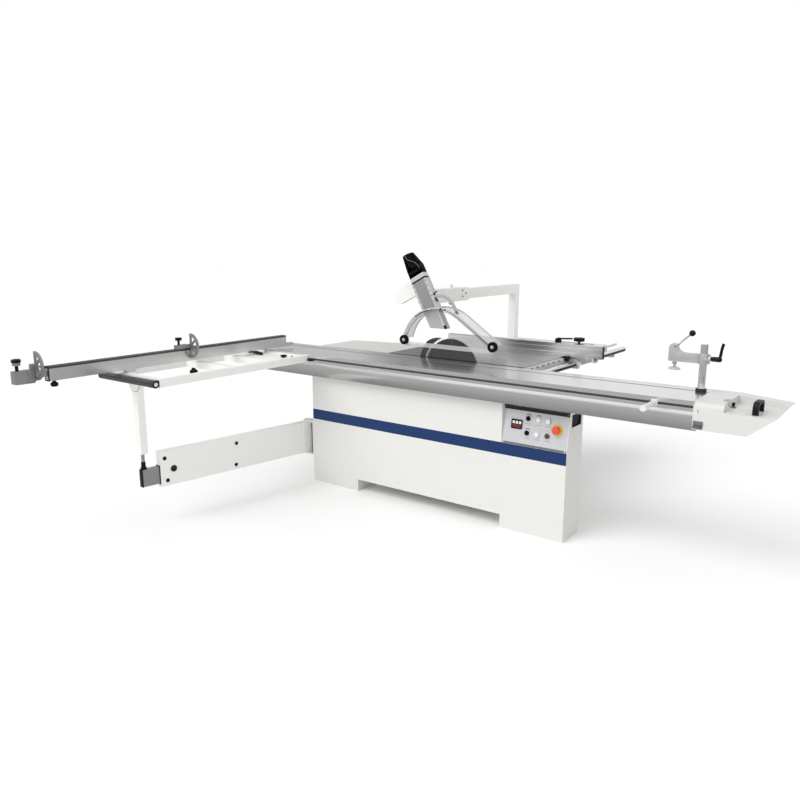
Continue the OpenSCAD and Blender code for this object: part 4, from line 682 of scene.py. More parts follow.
@dataclass
class Panel:
    """Strips, screws, windows, plates and marks on the leaning control panel."""

    origin: Vector = field(default_factory=lambda: mm(534.5, -295, 513))
    lean: float = 8.8
    width: float = 395
    height: float = 216
    row_high: float = 157
    row_low: float = 76
    columns: Triple = (154, 216, 276)
    switch: Pair = (332, 117)
    display: Pair = (86, 117)
    screw_in: float = 9
    print_t: float = 0.25

    def axes(self) -> tuple[Vector, Vector, Vector]:
        """Directions along, up and out of the panel."""
        c, s = math.cos(math.radians(self.lean)), math.sin(math.radians(self.lean))
        return RIGHT, Vector((0, s, c)), Vector((0, -c, s))

    def at(self, u: float, v: float, out: float = 0.0) -> Vector:
        """Point on the panel from its place along, up and out, in millimetres."""
        along, up, away = self.axes()
        return self.origin + (along * u + up * v + away * out) * MM

    def patch(self, name: str, low: Pair, high: Pair, thick: float, base: float = 0.0) -> Piece:
        """Make a thin plate on the panel.

        Args:
            name: the piece's name.
            low: lower left corner along and up the panel.
            high: upper right corner.
            thick: thickness.
            base: height of its back face above the panel.

        Returns:
            The piece.
        """
        corners = [self.at(u, v, base) for u, v in (low, (high[0], low[1]), high, (low[0], high[1]))]
        return Bench.plate(name, corners, self.axes()[2] * thick * MM)

    def places(self) -> dict[str, Pair]:
        """Where each round control and the lamp sit."""
        left, mid, right = self.columns
        return {"mode": (left, self.row_high), "axis": (left, self.row_low), "lamp": (mid, self.row_high),
                "start": (right, self.row_high), "stop": (mid, self.row_low), "key": (right, self.row_low)}

    def build_strips(self) -> None:
        """Make the dark strips along the upper and lower edge, with a screw at each end."""
        Bench.fit("machine_base",
                  (self.patch("panel_strip_top", (0, self.height - 20), (self.width, self.height), 1.2),
                   "black_plastic", DARK_TRIM),
                  (self.patch("panel_strip_low", (0, 3), (self.width, 11), 1.2), "black_plastic", GREY_TRIM))
        left, right, low, high = self.screw_in, self.width - self.screw_in, 7, self.height - self.screw_in
        first = Bench.turned("panel_screw_1", self.at(left, low), self.axes()[2],
                             [(4.2, 0.9), (4.2, 1.9), (3.6, 2.6), (1.6, 2.8), (1.5, 2.2)], 20)
        for index, (u, v, finish) in enumerate(((right, low, WHITE_PLASTIC), (left, high, STEEL),
                                                (right, high, STEEL)), 2):
            twin = Bench.copied(first, f"panel_screw_{index}", self.at(u, v) - self.at(left, low))
            Bench.done(twin, "machine_base", "steel", finish)
        Bench.done(first, "machine_base", "steel", WHITE_PLASTIC)

    def build_display(self) -> None:
        """Make the three white figure windows and the red window below them."""
        u, v = self.display
        for name, low, high, slot, finish in (
                ("display_window_1", (-27, 2), (-13, 17), "white_plastic", WINDOW),
                ("display_window_2", (-7, 2), (7, 17), "white_plastic", WINDOW),
                ("display_window_3", (13, 2), (27, 17), "white_plastic", WINDOW),
                ("display_red_window", (-27, -19), (27, -2), "switch_red", RED_GLASS)):
            pane = self.patch(name, (u + low[0], v + low[1]), (u + high[0], v + high[1]), 0.9, base=2.45)
            Bench.done(pane, "machine_base", slot, finish)

    def build_controls(self) -> None:
        """Make the collars, the lamp cap, the yellow plate and the switch's knob."""
        out, places = self.axes()[2], self.places()
        Bench.fit("machine_base",
                  (Bench.turned("switch_plate", self.at(*self.switch), out,
                                [(31, 0), (31, 1.6), (30.2, 2.4), (25, 2.6)], 48), "switch_red", YELLOW),
                  (Bench.turned("lamp_cap", self.at(*places.pop("lamp")), out,
                                [(16.5, 0), (16.5, 2.4), (15.4, 3.2), (13.6, 3.3), (13.6, 9.2), (12.2, 11.4),
                                 (8.4, 12.9), (3, 13.4)], 36), "white_plastic", WHITE_PLASTIC))
        grip = Bench.star("switch_knob", self.at(*self.switch, 2), out, 24, 32, 6)
        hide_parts("main_switch")
        Bench.done(grip, "switch_unit", "switch_red", RED)
        for name, place in places.items():
            ring = Bench.turned(f"collar_{name}", self.at(*place), out, [(16.5, 0), (16.5, 2.2), (15.6, 2.9)], 36)
            ring = Bench.opened(ring, out, 2.0 if name in ("start", "stop") else 10.2)
            Bench.done(ring, "machine_base", "chrome", CHROME if name in ("start", "key") else WHITE_PLASTIC)

    def build_marks(self) -> None:
        """Make the plain curved pointers above the turning controls and the short lines below them."""
        for name in ("mode", "axis", "lamp"):
            u, v = self.places()[name]
            arc = [self.at(u + r * math.sin(math.radians(a)), v + r * math.cos(math.radians(a)))
                   for r, turns in ((26, range(-36, 37, 12)), (22.5, range(36, -37, -12))) for a in turns]
            mark = Bench.plate(f"mark_{name}", arc, self.axes()[2] * self.print_t * MM)
            Bench.done(mark, "machine_base", "black_plastic", DARK_TRIM)
        for column, u in enumerate(self.columns, 1):
            for row, v in enumerate((self.row_low - 31, self.row_high - 31), 1):
                line = self.patch(f"line_{column}_{row}", (u - 19, v), (u + 19, v + 2), self.print_t)
                Bench.done(line, "machine_base", "black_plastic", GREY_TRIM)

    def build(self) -> None:
        """Make everything on the panel."""
        for step in (self.build_strips, self.build_display, self.build_controls, self.build_marks):
            step()


@dataclass
class Base:
    """Black sheet in the window as painted shade, rear door, louvres, outlet ring and covers of the base."""

    end_x: float = 932.5
    cabinet_x: float = 480
    window: tuple[float, float, float, float] = (-250, -108, 636, 722)
    back_y: float = 470
    door: tuple[float, float, float, float] = (10, 430, 170, 720)
    louvres: Triple = (-410, -90, 560)
    outlet: Pair = (-150, 300)

    def build_door(self) -> None:
        """Make the rear door with its hinges and its handle."""
        x_low, x_high, z_low, z_high = self.door
        back = self.back_y
        leaf = Bench.block("rear_door", mm(x_low, back - 1, z_low), mm(x_high, back + 5, z_high), 2, 3)
        Bench.choose(leaf, lambda centre, normal: normal.y > FACING)
        bpy.ops.mesh.inset(thickness=26 * MM, depth=0.0)
        bpy.ops.mesh.inset(thickness=4 * MM, depth=-2.4 * MM)
        Bench.close()
        hold = mm(x_low + 40, back + 4, (z_low + z_high) / 2)
        Bench.fit("machine_base", (leaf, "white_paint", WHITE),
                  (Bench.turned("door_lock", hold, FAR, [(24, 0), (24, 3), (21, 6), (11, 6.5), (11, 15), (8, 17)], 32),
                   "black_plastic", BLACK),
                  (Bench.block("door_wing", hold + mm(-6, 12, -42), hold + mm(6, 24, 42), 4, 3),
                   "black_plastic", BLACK))
        barrel = [(7, -32), (8, -31), (8, -11), (7.2, -10.5), (7.2, -9.5), (8, -9), (8, 31), (7, 32)]
        spots = [mm(x_high + 5, back + 5, z) for z in (z_low + 80, z_high - 80)]
        Bench.repeated(Bench.turned("door_hinge_1", spots[0], UP, barrel, 20), spots, "machine_base", "steel", STEEL)

    def build_back(self) -> None:
        """Put a black sheet in the window in the right end as painted shade of the hollow behind it, and make the
        louvres and the outlet's ring.
        """
        y_low, y_high, z_low, z_high = self.window
        back, (x, z), (left, right, low) = self.back_y, self.outlet, self.louvres
        Bench.fit("machine_base",
                  # Black sheet standing in for the shade inside the window's hollow: painted shade.
                  (Bench.block("window_lining", mm(self.end_x - 14, y_low, z_low), mm(self.end_x - 8, y_high, z_high)),
                   "black_plastic", BLACK),
                  (Bench.turned("outlet_flange", mm(x, back, z), FAR,
                                [(86, -1), (86, 4), (84.5, 5.5), (64, 5.5), (62.5, 8), (62.5, 62), (64.5, 64),
                                 (64.5, 69), (62, 70.4), (57, 70.4), (56, 66), (56, 30)], 56),
                   "black_plastic", DARK_TRIM))
        rib = Bench.plate("louvre_1", [mm(left, back + y, low + z) for y, z in ((-1, 0), (9, 3), (9, 5), (-1, 17))],
                          mm(right - left, 0, 0))
        Bench.repeated(rib, [mm(left, 0, low + step * 24) for step in range(8)], "machine_base", "white_paint", WHITE)
        spots = [rounded(x, back + 5.5, z, 75, 45 + 90 * n) for n in range(4)]
        Bench.repeated(Bench.bolt("outlet_bolt_1", spots[0], FAR, 5), spots, "machine_base", "steel", STEEL)

    def build_covers(self) -> None:
        """Make the screwed covers on the ends of the cabinet and of the base."""
        for name, x, way, (y_low, z_low), (y_high, z_high) in (
                ("cover_left", -self.cabinet_x, LEFT, (40, 220), (420, 700)),
                ("cover_right", self.cabinet_x, RIGHT, (40, 220), (420, 700)),
                ("end_cover_left", -self.end_x, LEFT, (-270, 470), (-120, 700))):
            corners = [mm(x, y, z) - way * MM
                       for y, z in ((y_low, z_low), (y_high, z_low), (y_high, z_high), (y_low, z_high))]
            Bench.done(Bench.plate(name, corners, way * 3.5 * MM), "machine_base", "white_paint", WHITE)
            spots = [mm(x, y, z) + way * 2.4 * MM for y in (y_low + 16, y_high - 16) for z in (z_low + 16, z_high - 16)]
            Bench.repeated(Bench.bolt(f"{name}_screw_1", spots[0], way, 5), spots, "machine_base", "steel", STEEL)

    def build(self) -> None:
        """Make everything on the base."""
        for step in (self.build_door, self.build_back, self.build_covers):
            step()


@dataclass
class Guard:
    """Edge bands, neck, bow, trims and bolts of the overhead guard."""

    mouth: Pair = (-90, 1095)
    lean: float = 28
    half_w: float = 53
    half_d: float = 25
    neck_low: float = 365
    neck_top: float = 478
    neck_r: float = 38
    neck_lean: float = -13
    arch: Triple = (-72, 950, 275)
    leg_end: Pair = (322, 1016)
    near_y: float = -54
    far_y: float = 50

    def at(self, u: float, v: float, w: float) -> Vector:
        """Point from its place across, through and up the leaning hood, in millimetres."""
        c, s = math.cos(math.radians(self.lean)), math.sin(math.radians(self.lean))
        return mm(self.mouth[0] + u * c - w * s, v, self.mouth[1] + u * s + w * c)

    def arch_line(self, start: float, stop: float, grow: float, y: float, leg: bool = False) -> list[Vector]:
        """Lay points along the arch.

        Args:
            start: angle of the first point, in degrees.
            stop: angle of the last point.
            grow: how far the line lies outside the arch.
            y: plane across the saw.
            leg: whether the line goes on down the leg to the right.

        Returns:
            The points.
        """
        x, z, r = self.arch
        steps = max(2, int(abs(stop - start) / 5.0))
        line = [rounded(x, y, z, r + grow, start + (stop - start) * n / steps) for n in range(steps + 1)]
        if leg:
            line.append(mm(self.leg_end[0] + grow * 0.55, y, self.leg_end[1] + grow * 0.83))
        return line

    def build_hood(self) -> None:
        """Make the band, the line, the flanges, the clip, the hook and the bolts of the hood."""
        for name, low, high, slot, finish in (
                ("hood_band", (-54.4, -26.6, 339), (54.4, 26.6, 366), "hood_metal", SILVER),
                ("hood_line", (-54, -26.2, 329), (54, 26.2, 338.5), "black_plastic", BLACK),
                ("flange_left", (-57.5, -28.4, 142), (-43, -24.6, 326), "hood_metal", SILVER),
                ("flange_right", (44, -28.4, 122), (57.5, -24.6, 326), "hood_metal", SILVER),
                ("flange_side", (52, -24, 100), (54.6, 25, 327), "hood_metal", SILVER),
                ("flange_rib", (52, 10, 205), (57, 25, 330), "hood_metal", SILVER),
                ("skirt_left", (-54.6, -26.8, 32), (-45, -24.6, 134), "hood_metal", SILVER),
                ("skirt_right", (43, -26.8, -22), (54.6, -24.6, 110), "hood_metal", SILVER),
                ("mouth_clip", (46, -29, -27), (58, -16, -4), "black_plastic", BLACK)):
            corners = [self.at(u, low[1], w) for u, w in ((low[0], low[2]), (high[0], low[2]), (high[0], high[2]),
                                                          (low[0], high[2]))]
            Bench.done(Bench.plate(name, corners, mm(0, high[1] - low[1], 0)), "guard_hood", slot, finish)
        skirt = ((-45, 27), (43, -19), (43, 112), (-45, 134))
        bent = ((62, 158), (57, 180), (55.5, 200), (60, 212), (68, 217), (84, 216))
        Bench.fit("guard_hood",
                  (Bench.plate("skirt_front", [self.at(u, -26, w) for u, w in skirt], mm(0, 2, 0)), "hood_metal", MID),
                  (Bench.ribbon("hood_hook", [self.at(u, -6, w) for u, w in bent], 6, mm(0, 8, 0)),
                   "black_plastic", BLACK))
        spots = [self.at(u, -28.2, w) for u in (-50.5, 51) for w in range(312, 167, -36)]
        Bench.repeated(Bench.bolt("flange_bolt_1", spots[0], NEAR, 3.4), spots, "guard_hood", "steel", GREY_TRIM)
        spots = [self.at(56.8, 17, w) for w in range(318, 221, -24)]
        out = self.at(1, 0, 0) - self.at(0, 0, 0)
        Bench.repeated(Bench.bolt("side_bolt_1", spots[0], out, 3.4), spots, "guard_hood", "steel", GREY_TRIM)

    def build_neck(self) -> None:
        """Bridge the hood's top into the round hose neck, with a grey strip along its mould seam that is a painted
        highlight.
        """
        corner, count = 2.5, 40
        outline = []
        for cu, cv, first in ((1, 1, 0), (-1, 1, 90), (-1, -1, 180), (1, -1, 270)):
            for n in range(count // 4):
                turn = math.radians(first + 90.0 * n / (count // 4 - 1))
                outline.append(self.at(cu * (self.half_w + 1 - corner) + corner * math.cos(turn),
                                       cv * (self.half_d + 1 - corner) + corner * math.sin(turn), self.neck_low))
        rise = self.at(0, 0, 1) - self.at(0, 0, 0)
        way = rise.normalized()
        neck = Bench.plate("hose_neck", outline, rise * 16)
        rim = Bench.disc("neck_mouth", count, self.neck_r, self.at(self.neck_lean, 0, self.neck_top),
                         (0.0, -math.radians(self.lean), 0.0))
        neck = Bench.joined("hose_neck", [neck, rim])
        floor = self.at(0, 0, self.neck_low + 8).dot(way)
        Bench.choose(neck, lambda centre, normal: abs(normal.dot(way)) > 0.98 and centre.dot(way) > floor)
        bpy.ops.mesh.bridge_edge_loops(number_cuts=8, interpolation="LINEAR")
        bpy.ops.mesh.select_all(action="SELECT")
        bpy.ops.mesh.fill_holes(sides=count)
        bpy.ops.mesh.normals_make_consistent(inside=False)
        # The neck's edges stay selected, so the push raises walls from them too.
        Bench.choose(neck, lambda centre, normal: normal.dot(way) > 0.98 and centre.dot(way) > floor + 0.05, False)
        Bench.push(rise * 40)
        bpy.ops.mesh.inset(thickness=4 * MM, depth=0.0)
        Bench.push(rise * -30)
        Bench.close()
        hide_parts("hood_reducer")
        Bench.done(neck, "guard_hood", "black_rubber", RUBBER)
        hits = [neck.ray_cast(self.at(u, -120, w), FAR) for u, w in (
            (-14, 514), (-13, 500), (-4, 480), (14, 462), (30, 446), (42, 424), (47, 400))]
        # Grey strip along the mould seam on the black neck: a painted highlight.
        seam = Bench.wire("neck_seam", [spot + NEAR * 0.4 * MM for hit, spot, _, _ in hits if hit], 2)
        Bench.done(seam, "guard_hood", "black_rubber", GREY_TRIM)

    def build_arch(self) -> None:
        """Make the trims along the arch's edges, the bow that lifts it and the small bolts."""
        near = self.near_y
        for name, start, stop, grow, y, width, leg, finish in (
                ("trim_near", 166, 56, 1, near - 2, 9, True, SILVER),
                ("trim_far", 166, 56, 1, self.far_y - 2, 8, True, SILVER),
                ("trim_inner", 160, 56, -17, near - 1, 3, True, GREY_TRIM),
                ("trim_line", 88, 56, -8, near - 2.4, 4, True, DARK_TRIM),
                ("trim_outer", 160, 118, 5.5, near - 2.4, 2.2, False, GREY_TRIM)):
            strip = Bench.ribbon(name, self.arch_line(start, stop, grow, y, leg), width, mm(0, 4, 0))
            Bench.done(strip, "guard_hood", "hood_metal", finish)
        bow = ((-138, 1287), (-112, 1297), (-80, 1301), (-46, 1299), (-16, 1286), (10, 1263), (29, 1232), (45, 1206),
               (54, 1190))
        edge = ((-112, 1290.5), (-80, 1294.5), (-48, 1292.5), (-20, 1280.5), (4.5, 1259), (23, 1228.5), (39, 1203))
        Bench.fit("guard_hood",
                  (Bench.ribbon("arch_seal", self.arch_line(126, 108, -4, near - 4), 5, mm(0, 8, 0)),
                   "black_plastic", BLACK),
                  (Bench.ribbon("lifting_bow", [mm(x, -27, z) for x, z in bow], 14, mm(0, 13, 0)), "hood_metal", MID),
                  (Bench.ribbon("bow_edge", [mm(x, -28, z) for x, z in edge], 2.6, mm(0, 2, 0)), "steel", GREY_TRIM),
                  (Bench.turned("bow_pin", mm(48, -28, 1203), NEAR, [(8, -1), (8, 3), (6.5, 5), (3, 5.4)], 20),
                   "steel", STEEL))
        x, z, r = self.arch
        spots = [rounded(x, near - 2, z, r - 4, a) for a in (86, 79, 128)]
        Bench.repeated(Bench.bolt("arch_bolt_1", spots[0], NEAR, 5.6), spots, "guard_hood", "steel", BLACK)

    def build_fittings(self) -> None:
        """Make the hubs of both wheels, and the bolts, the pin and the knob of the sleeve on the guard's arm."""
        for name, body, x, z in (("hub_front", "guard_wheel_front", 329, 1014.5),
                                 ("hub_rear", "guard_wheel_rear", -327, 1010)):
            hub = Bench.turned(name, mm(x, -71.4, z), NEAR, [(11, 0), (11, 1.4), (10, 2.6), (7.5, 2.8), (6.5, 5),
                                                           (5, 5.6), (2.8, 5.6), (2.4, 3.6)], 28)
            Bench.done(hub, body, "white_plastic", MID)
        spots = [mm(-235.5, y, z) for y, z in ((489, 1304), (490, 1262), (530, 1283), (140, 1304), (140, 1252))]
        Bench.repeated(Bench.bolt("sleeve_bolt_1", spots[0], RIGHT, 6), spots, "guard_carrier", "steel", GREY_TRIM)
        pin = [(13, 0), (13, 5), (8, 6), (8, 12), (11, 14), (11, 24), (9, 26)]
        Bench.fit("guard_carrier",
                  (Bench.turned("sleeve_pin", mm(-260, 385, 1321), UP, pin, 24), "white_plastic", WHITE_PLASTIC),
                  (Bench.star("sleeve_knob", mm(-262, 385, 1233), DOWN, 17, 24), "white_plastic", WHITE_PLASTIC))

    def build(self) -> None:
        """Make everything on the guard."""
        for step in (self.build_hood, self.build_neck, self.build_arch, self.build_fittings):
            step()


@dataclass
class EndCover:
    """Moulded cover on the carriage's right end, with its well, dish and latch."""

    left: float = 1588
    flat_end: float = 1722
    toe: float = 1828
    nose: float = 1944
    low: float = 766
    well: float = 862
    top: float = 900
    near: float = -380
    strip: float = -100
    far: float = -18
    tip: Pair = (1957, 878)
    wall: float = 3.2
    button: Pair = (1730, -234)
    front_round: float = 30

    def stem_hole(self) -> Piece:
        """Make the round tool that clears the lock button's stem."""
        return Bench.turned("stem_hole", mm(*self.button, self.well), UP, [(4.6, -40), (4.6, 40)], 24)

    def profile(self, name: str, points: Sequence[Pair], near: float, far: float) -> Piece:
        """Make a solid from a side outline between two planes across the saw."""
        return Bench.plate(name, [mm(x, near, z) for x, z in points], mm(0, far - near, 0))

    def flat_section(self) -> list[Pair]:
        """Section of the flat across the saw, with its broad rounding towards the front."""
        r, sunk = self.front_round, self.well - 6
        curve = [(self.near + r - r * math.cos(math.radians(a)), self.top - r + r * math.sin(math.radians(a)))
                 for a in range(0, 91, 10)]
        return [(self.near, sunk)] + curve + [(self.far, self.top), (self.far, sunk)]

    def build_shell(self) -> None:
        """Melt the body, the flat and the strip into one moulding, cut it out and round the edges."""
        left, well = self.left, self.well
        shell = self.profile("moulded_cover", ((left, self.low), (self.toe, self.low), (self.nose, well), (left, well)),
                             self.near, self.far)
        flat = Bench.plate("flat", [mm(left, y, z) for y, z in self.flat_section()], mm(self.flat_end - left, 0, 0))
        shell = Bench.combined(shell, flat, "UNION")
        strip = self.profile("strip", ((left, well - 6), (self.nose - 7, well - 6), self.tip,
                                       (self.tip[0] - 4, self.tip[1] + 2), (self.flat_end, self.top), (left, self.top)),
                             self.strip, self.far)
        shell = Bench.combined(shell, strip, "UNION")
        shell = Bench.combined(shell, Bench.turned("dish", mm(1738, -262, well), UP, [(46, 0.3), (46, 60)], 48))
        shell = Bench.combined(shell, Bench.turned("recess", mm(1790, -268, well), UP, [(20, -2), (23, 6)], 32))
        shell = Bench.softened(shell, 2.4)
        hollow = Bench.block("hollow", mm(left - 10, self.near + self.wall, 700),
                             mm(self.tip[0] + 40, 60, well - self.wall), 0.5)
        shell = Bench.combined(Bench.combined(shell, hollow), self.stem_hole())
        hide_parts("end_cover")
        Bench.done(shell, "carriage", "white_plastic", COVER, 40.0)

    def build_fittings(self) -> None:
        """Make the latch, the mark, the button's sleeve and the strap handle."""
        for name, (x_low, out_low, z_low), (x_high, out_high, z_high), soft, slot, finish in (
                ("latch_plate", (1592, -2, 771), (1636, 2, 808), 1.2, "steel", STEEL),
                ("latch_bar_low", (1590, -7, 774), (1630, -1, 782), 1.5, "steel", STEEL),
                ("latch_bar_high", (1593, -7, 792), (1638, -1, 800), 1.5, "steel", GREY_TRIM),
                ("cover_mark", (1608, -0.8, 847), (1611.5, 2, 862), 0.6, "black_plastic", GREY_TRIM)):
            low, high = mm(x_low, self.near + out_low, z_low), mm(x_high, self.near + out_high, z_high)
            Bench.done(Bench.block(name, low, high, soft), "carriage", slot, finish)
        sleeve = Bench.turned("button_sleeve", mm(*self.button, self.well), UP,
                              [(13, -1), (13, 3), (11.5, 5), (8.6, 5.4), (8.6, 2)], 28)
        strap = Bench.ribbon("strap_handle", [mm(1836, y, z) for y, z in (
            (-346, 861.6), (-346, 885), (-345, 898), (-340, 908), (-330, 913.5), (-290, 914.5), (-250, 913.5),
            (-240, 908), (-235, 898), (-234, 885), (-234, 861.6))], 12, mm(26, 0, 0))
        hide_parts("cover_handle")
        Bench.fit("carriage", (Bench.combined(sleeve, self.stem_hole()), "steel", GREY_TRIM),
                  (strap, "black_plastic", BLACK))

    def build(self) -> None:
        """Make the cover and what is on it."""
        self.build_shell()
        self.build_fittings()


@dataclass
class Clamp:
    """Cast arm, lever, grip and collar of the eccentric clamp."""

    column: Pair = (1548, -116)
    low: float = 1040
    high: float = 1088
    axis_z: float = 1066
    half_t: float = 14
    pivot: Pair = (1410, 1117)
    ball: Pair = (1485, 1186)
    ball_r: float = 15.5

    def build_arm(self) -> None:
        """Make the cast arm with its nose, and melt it into the sleeve round the column."""
        x, y = self.column
        outline = ((1380, 1046), (1385, self.low), (x, self.low), (x, self.high), (1476, 1086), (1454, 1088),
                   (1440, 1092), (1430, 1099), (1424, 1108), (1421, 1117), (1416, 1125), (1407, 1130), (1394, 1129),
                   (1384, 1122), (1380, 1110))
        arm = Bench.plate("cast_arm", [mm(px, y - self.half_t, pz) for px, pz in outline], mm(0, self.half_t * 2, 0))
        sleeve = Bench.turned("cast_sleeve", mm(x, y, self.low), UP, [(29, 0), (29, self.high - self.low)], 48)
        arm = Bench.softened(Bench.combined(arm, sleeve, "UNION"), 3, 3)
        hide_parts("clamp_arm")
        side = Vector((0.55, -0.835, 0.0))
        boss = [(16, 0), (16, 8), (14.5, 10), (9, 10.4), (6, 10.4), (6, 16)]
        Bench.fit("clamp_head", (arm, "cast_aluminium", CAST),
                  (Bench.turned("grip_boss", mm(x + 24, y, self.axis_z), RIGHT, boss, 28), "cast_aluminium", SILVER),
                  (Bench.bolt("arm_bolt", mm(x, y, self.axis_z) + side * 28.6 * MM, side, 8), "steel", SILVER),
                  (Bench.bolt("pivot_bolt_1", mm(self.pivot[0], y - self.half_t, self.pivot[1]), NEAR, 7),
                   "steel", BRIGHT))

    def build_moving(self) -> None:
        """Make the lever with its ball, the grip, the column's collar and the pad's rim."""
        x, y = self.column
        along = mm(self.ball[0] - self.pivot[0], 0, self.ball[1] - self.pivot[1])
        reach = along.length / MM
        start = mm(self.pivot[0], y, self.pivot[1])
        rod = Bench.turned("lever_rod", start, along, [(8, 6), (8, 18), (5.4, 24), (4.4, reach - 10)], 20)
        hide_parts("clamp_lever")
        ball = [(self.ball_r * math.sin(math.radians(a)), reach - self.ball_r * math.cos(math.radians(a)))
                for a in range(20, 176, 12)]
        Bench.fit("clamp_cam", (rod, "black_plastic", BRIGHT),
                  (Bench.turned("lever_ball", start, along, ball, 28), "black_plastic", BLACK))
        hub = Bench.turned("grip_hub", mm(x, y, self.axis_z), RIGHT,
                           [(9, 36), (11.5, 39), (12.5, 52), (12.5, 74), (11, 82), (6, 85)], 28)
        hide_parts("clamp_handle")
        bent = ((1611, 1066), (1622, 1076), (1626, 1092), (1629, 1116), (1635, 1145))
        Bench.fit("clamp_grip", (hub, "black_plastic", BLACK),
                  (Bench.wire("grip_lever", [mm(px, y, pz) for px, pz in bent], 7.2), "black_plastic", BLACK))
        collar = [(26.5, -0.2), (26.5, 13), (24, 17), (17.9, 17.4)]
        Bench.fit("carriage", (Bench.turned("column_collar", mm(x, y, 900), UP, collar, 36),
                               "black_plastic", DARK_TRIM))
        rim = [(28, -1), (29.6, 0.2), (29.6, 5), (27, 6.8), (14, 13)]
        Bench.fit("clamp_ram", (Bench.turned("pad_rim", mm(self.pivot[0], y, 999.8), UP, rim, 36), "steel", SILVER))

    def build(self) -> None:
        """Make the clamp's pieces."""
        self.build_arm()
        self.build_moving()


@dataclass
class CrosscutFence:
    """Knobs, scale and end trims of the crosscut fence and its extension."""

    mid: float = -1245
    left: float = -1266
    right: float = -1224
    end_knob: float = -2112
    top: float = 990

    def build(self) -> None:
        """Make the black knobs, the end plate and the tick scale."""
        left, right = self.left, self.right
        head = [(8.5, -0.5), (8.5, 34), (11, 41), (20, 44), (23.6, 48), (23.6, 56), (20, 61), (9, 63)]
        toe = ((left, -2130), (right, -2130), (-1216, -2040), (left, -2040))
        Bench.fit("extension_unit",
                  (Bench.turned("extension_knob", mm(self.mid, self.end_knob, 984), UP, head, 32),
                   "black_plastic", BLACK),
                  (Bench.block("end_seam", mm(-1267.4, -2072, 917.6), mm(-1222.6, -2070.4, 984.4), 0.4),
                   "black_plastic", GREY_TRIM),
                  (Bench.plate("end_toe", [mm(x, y, 917) for x, y in toe], mm(0, 0, 4)), "cast_aluminium", CAST_DARK))
        end = Bench.plate("fence_end", [mm(x, -1962.5, z) for x, z in (
            (left, 911), (right, 911), (right, 991), (left, 991))], mm(0, 5, 0))
        end = Bench.opened(end, FAR, 6.5)
        tick = Bench.block("fence_scale", mm(-1231, -1950, self.top - 0.2), mm(-1226, -1949, self.top + 0.2), 0.08, 1)
        Bench.fit("fence_unit", (end, "black_plastic", DARK_TRIM),
                  (Bench.star("fence_knob", mm(self.mid, -1925, 911.5), DOWN, 20, 34), "black_plastic", BLACK),
                  (Bench.row(tick, 168, mm(0, 10, 0)), "white_plastic", WHITE_PLASTIC))


@dataclass
class Outrigger:
    """Roller ends, tongue, sheet, lever and knobs of the outrigger, and the grey strips of painted shade in the
    carriage's front slot and top groove.
    """

    post: Pair = (-1189.1, -1468.7)
    roller: Triple = (-1560, 873.5, 20.6)
    roller_end: float = -882
    knob: Pair = (-1310.3, -980.6)
    tongue: Pair = (47, 837)
    carriage_ends: Pair = (-1611, 1587)

    def build_roller(self) -> None:
        """Make the caps and the hub of the end roller, and the plugs of the frame behind it."""
        y, z, r = self.roller
        for name, x, way, finish in (("roller_cap_right", self.roller_end, RIGHT, DARK_TRIM),
                                     ("roller_cap_left", -1398, LEFT, BLACK)):
            cap = Bench.turned(name, mm(x, y, z), way, [(r + 0.5, -0.6), (r + 0.5, 1.6), (r - 1, 2.6), (r - 6, 2.8),
                                                       (r - 7, 0.6), (r - 13, 0.5), (r - 14, 3), (r - 16, 3.4)], 32)
            Bench.done(cap, "outrigger_roller", "aluminium", finish)
        hub = Bench.turned("roller_hub", mm(self.roller_end, y, z), RIGHT,
                           [(11, 0.4), (11, 3), (9.6, 4.4), (4, 4.8)], 28)
        Bench.done(hub, "outrigger_roller", "white_plastic", WHITE_PLASTIC)
        spots = [mm(x, -1536, z) for x in (-1378, -902)]
        plug = Bench.block("frame_plug_1", spots[0] + mm(-17, -2, -18), spots[0] + mm(17, 3, 18), 2)
        Bench.repeated(plug, spots, "carriage", "black_plastic", DARK_TRIM)

    def build(self) -> None:
        """Make the pieces on the outrigger."""
        self.build_roller()
        (half, low), x, y = self.tongue, self.post[0] + 8, self.post[1]
        face, line, top = y - 26.4, y - 26.8, 851.8
        turns = range(180, 361, 15)
        tongue = [mm(x - half, face, top)] + [rounded(x, face, low, half, a) for a in turns] + [mm(x + half, face, top)]
        rim = [rounded(x, line, low, half + 0.6, a) for a in turns]
        bent = ((-1322, -497, 897), (-1290, -503, 903), (-1250, -512, 899), (-1205, -523, 898), (-1165, -533, 896))
        start, stop = self.carriage_ends
        Bench.fit(
            "carriage",
            (Bench.plate("post_tongue", tongue, mm(0, 4, 0)), "white_paint", SNOW),
            (Bench.ribbon("tongue_edge", rim, 2, mm(0, 2, 0)), "steel", GREY_TRIM),
            (Bench.block("inner_sheet", mm(-1359, -661, 884), mm(-921, -427, 888)), "white_paint", SNOW),
            (Bench.wire("index_lever", [mm(*p) for p in bent], 11), "black_plastic", BLACK),
            (Bench.star("index_boss", mm(-1322, -497, 887.5), UP, 21, 22), "black_plastic", BLACK),
            (Bench.star("sheet_knob", mm(-967, -524, 887.5), UP, 22, 20), "black_plastic", BLACK),
            (Bench.bolt("sheet_bolt", mm(-945, -470, 887.9), UP, 9), "steel", BLACK),
            (Bench.block("slot_clamp", mm(-881.4, -396, 859), mm(-840, -380.3, 874), 3, 3), "black_plastic", BLACK),
            # Grey strip inside the carriage's front slot: painted shade of the slot.
            (Bench.block("slot_lining", mm(start, -363, 860.3), mm(stop, -360.2, 883.6), 0.5),
             "black_plastic", GREY_TRIM),
            # Grey strip on the carriage's top, wider than the groove it marks: painted shade of that groove.
            (Bench.block("carriage_groove", mm(start, -121, 899.7), mm(stop, -104, 900.2), 0.1, 1),
             "aluminium", GREY_TRIM))
        Bench.fit("outrigger_knob",
                  (Bench.star("frame_star", mm(*self.knob, 849), DOWN, 25, 43), "black_plastic", BLACK))


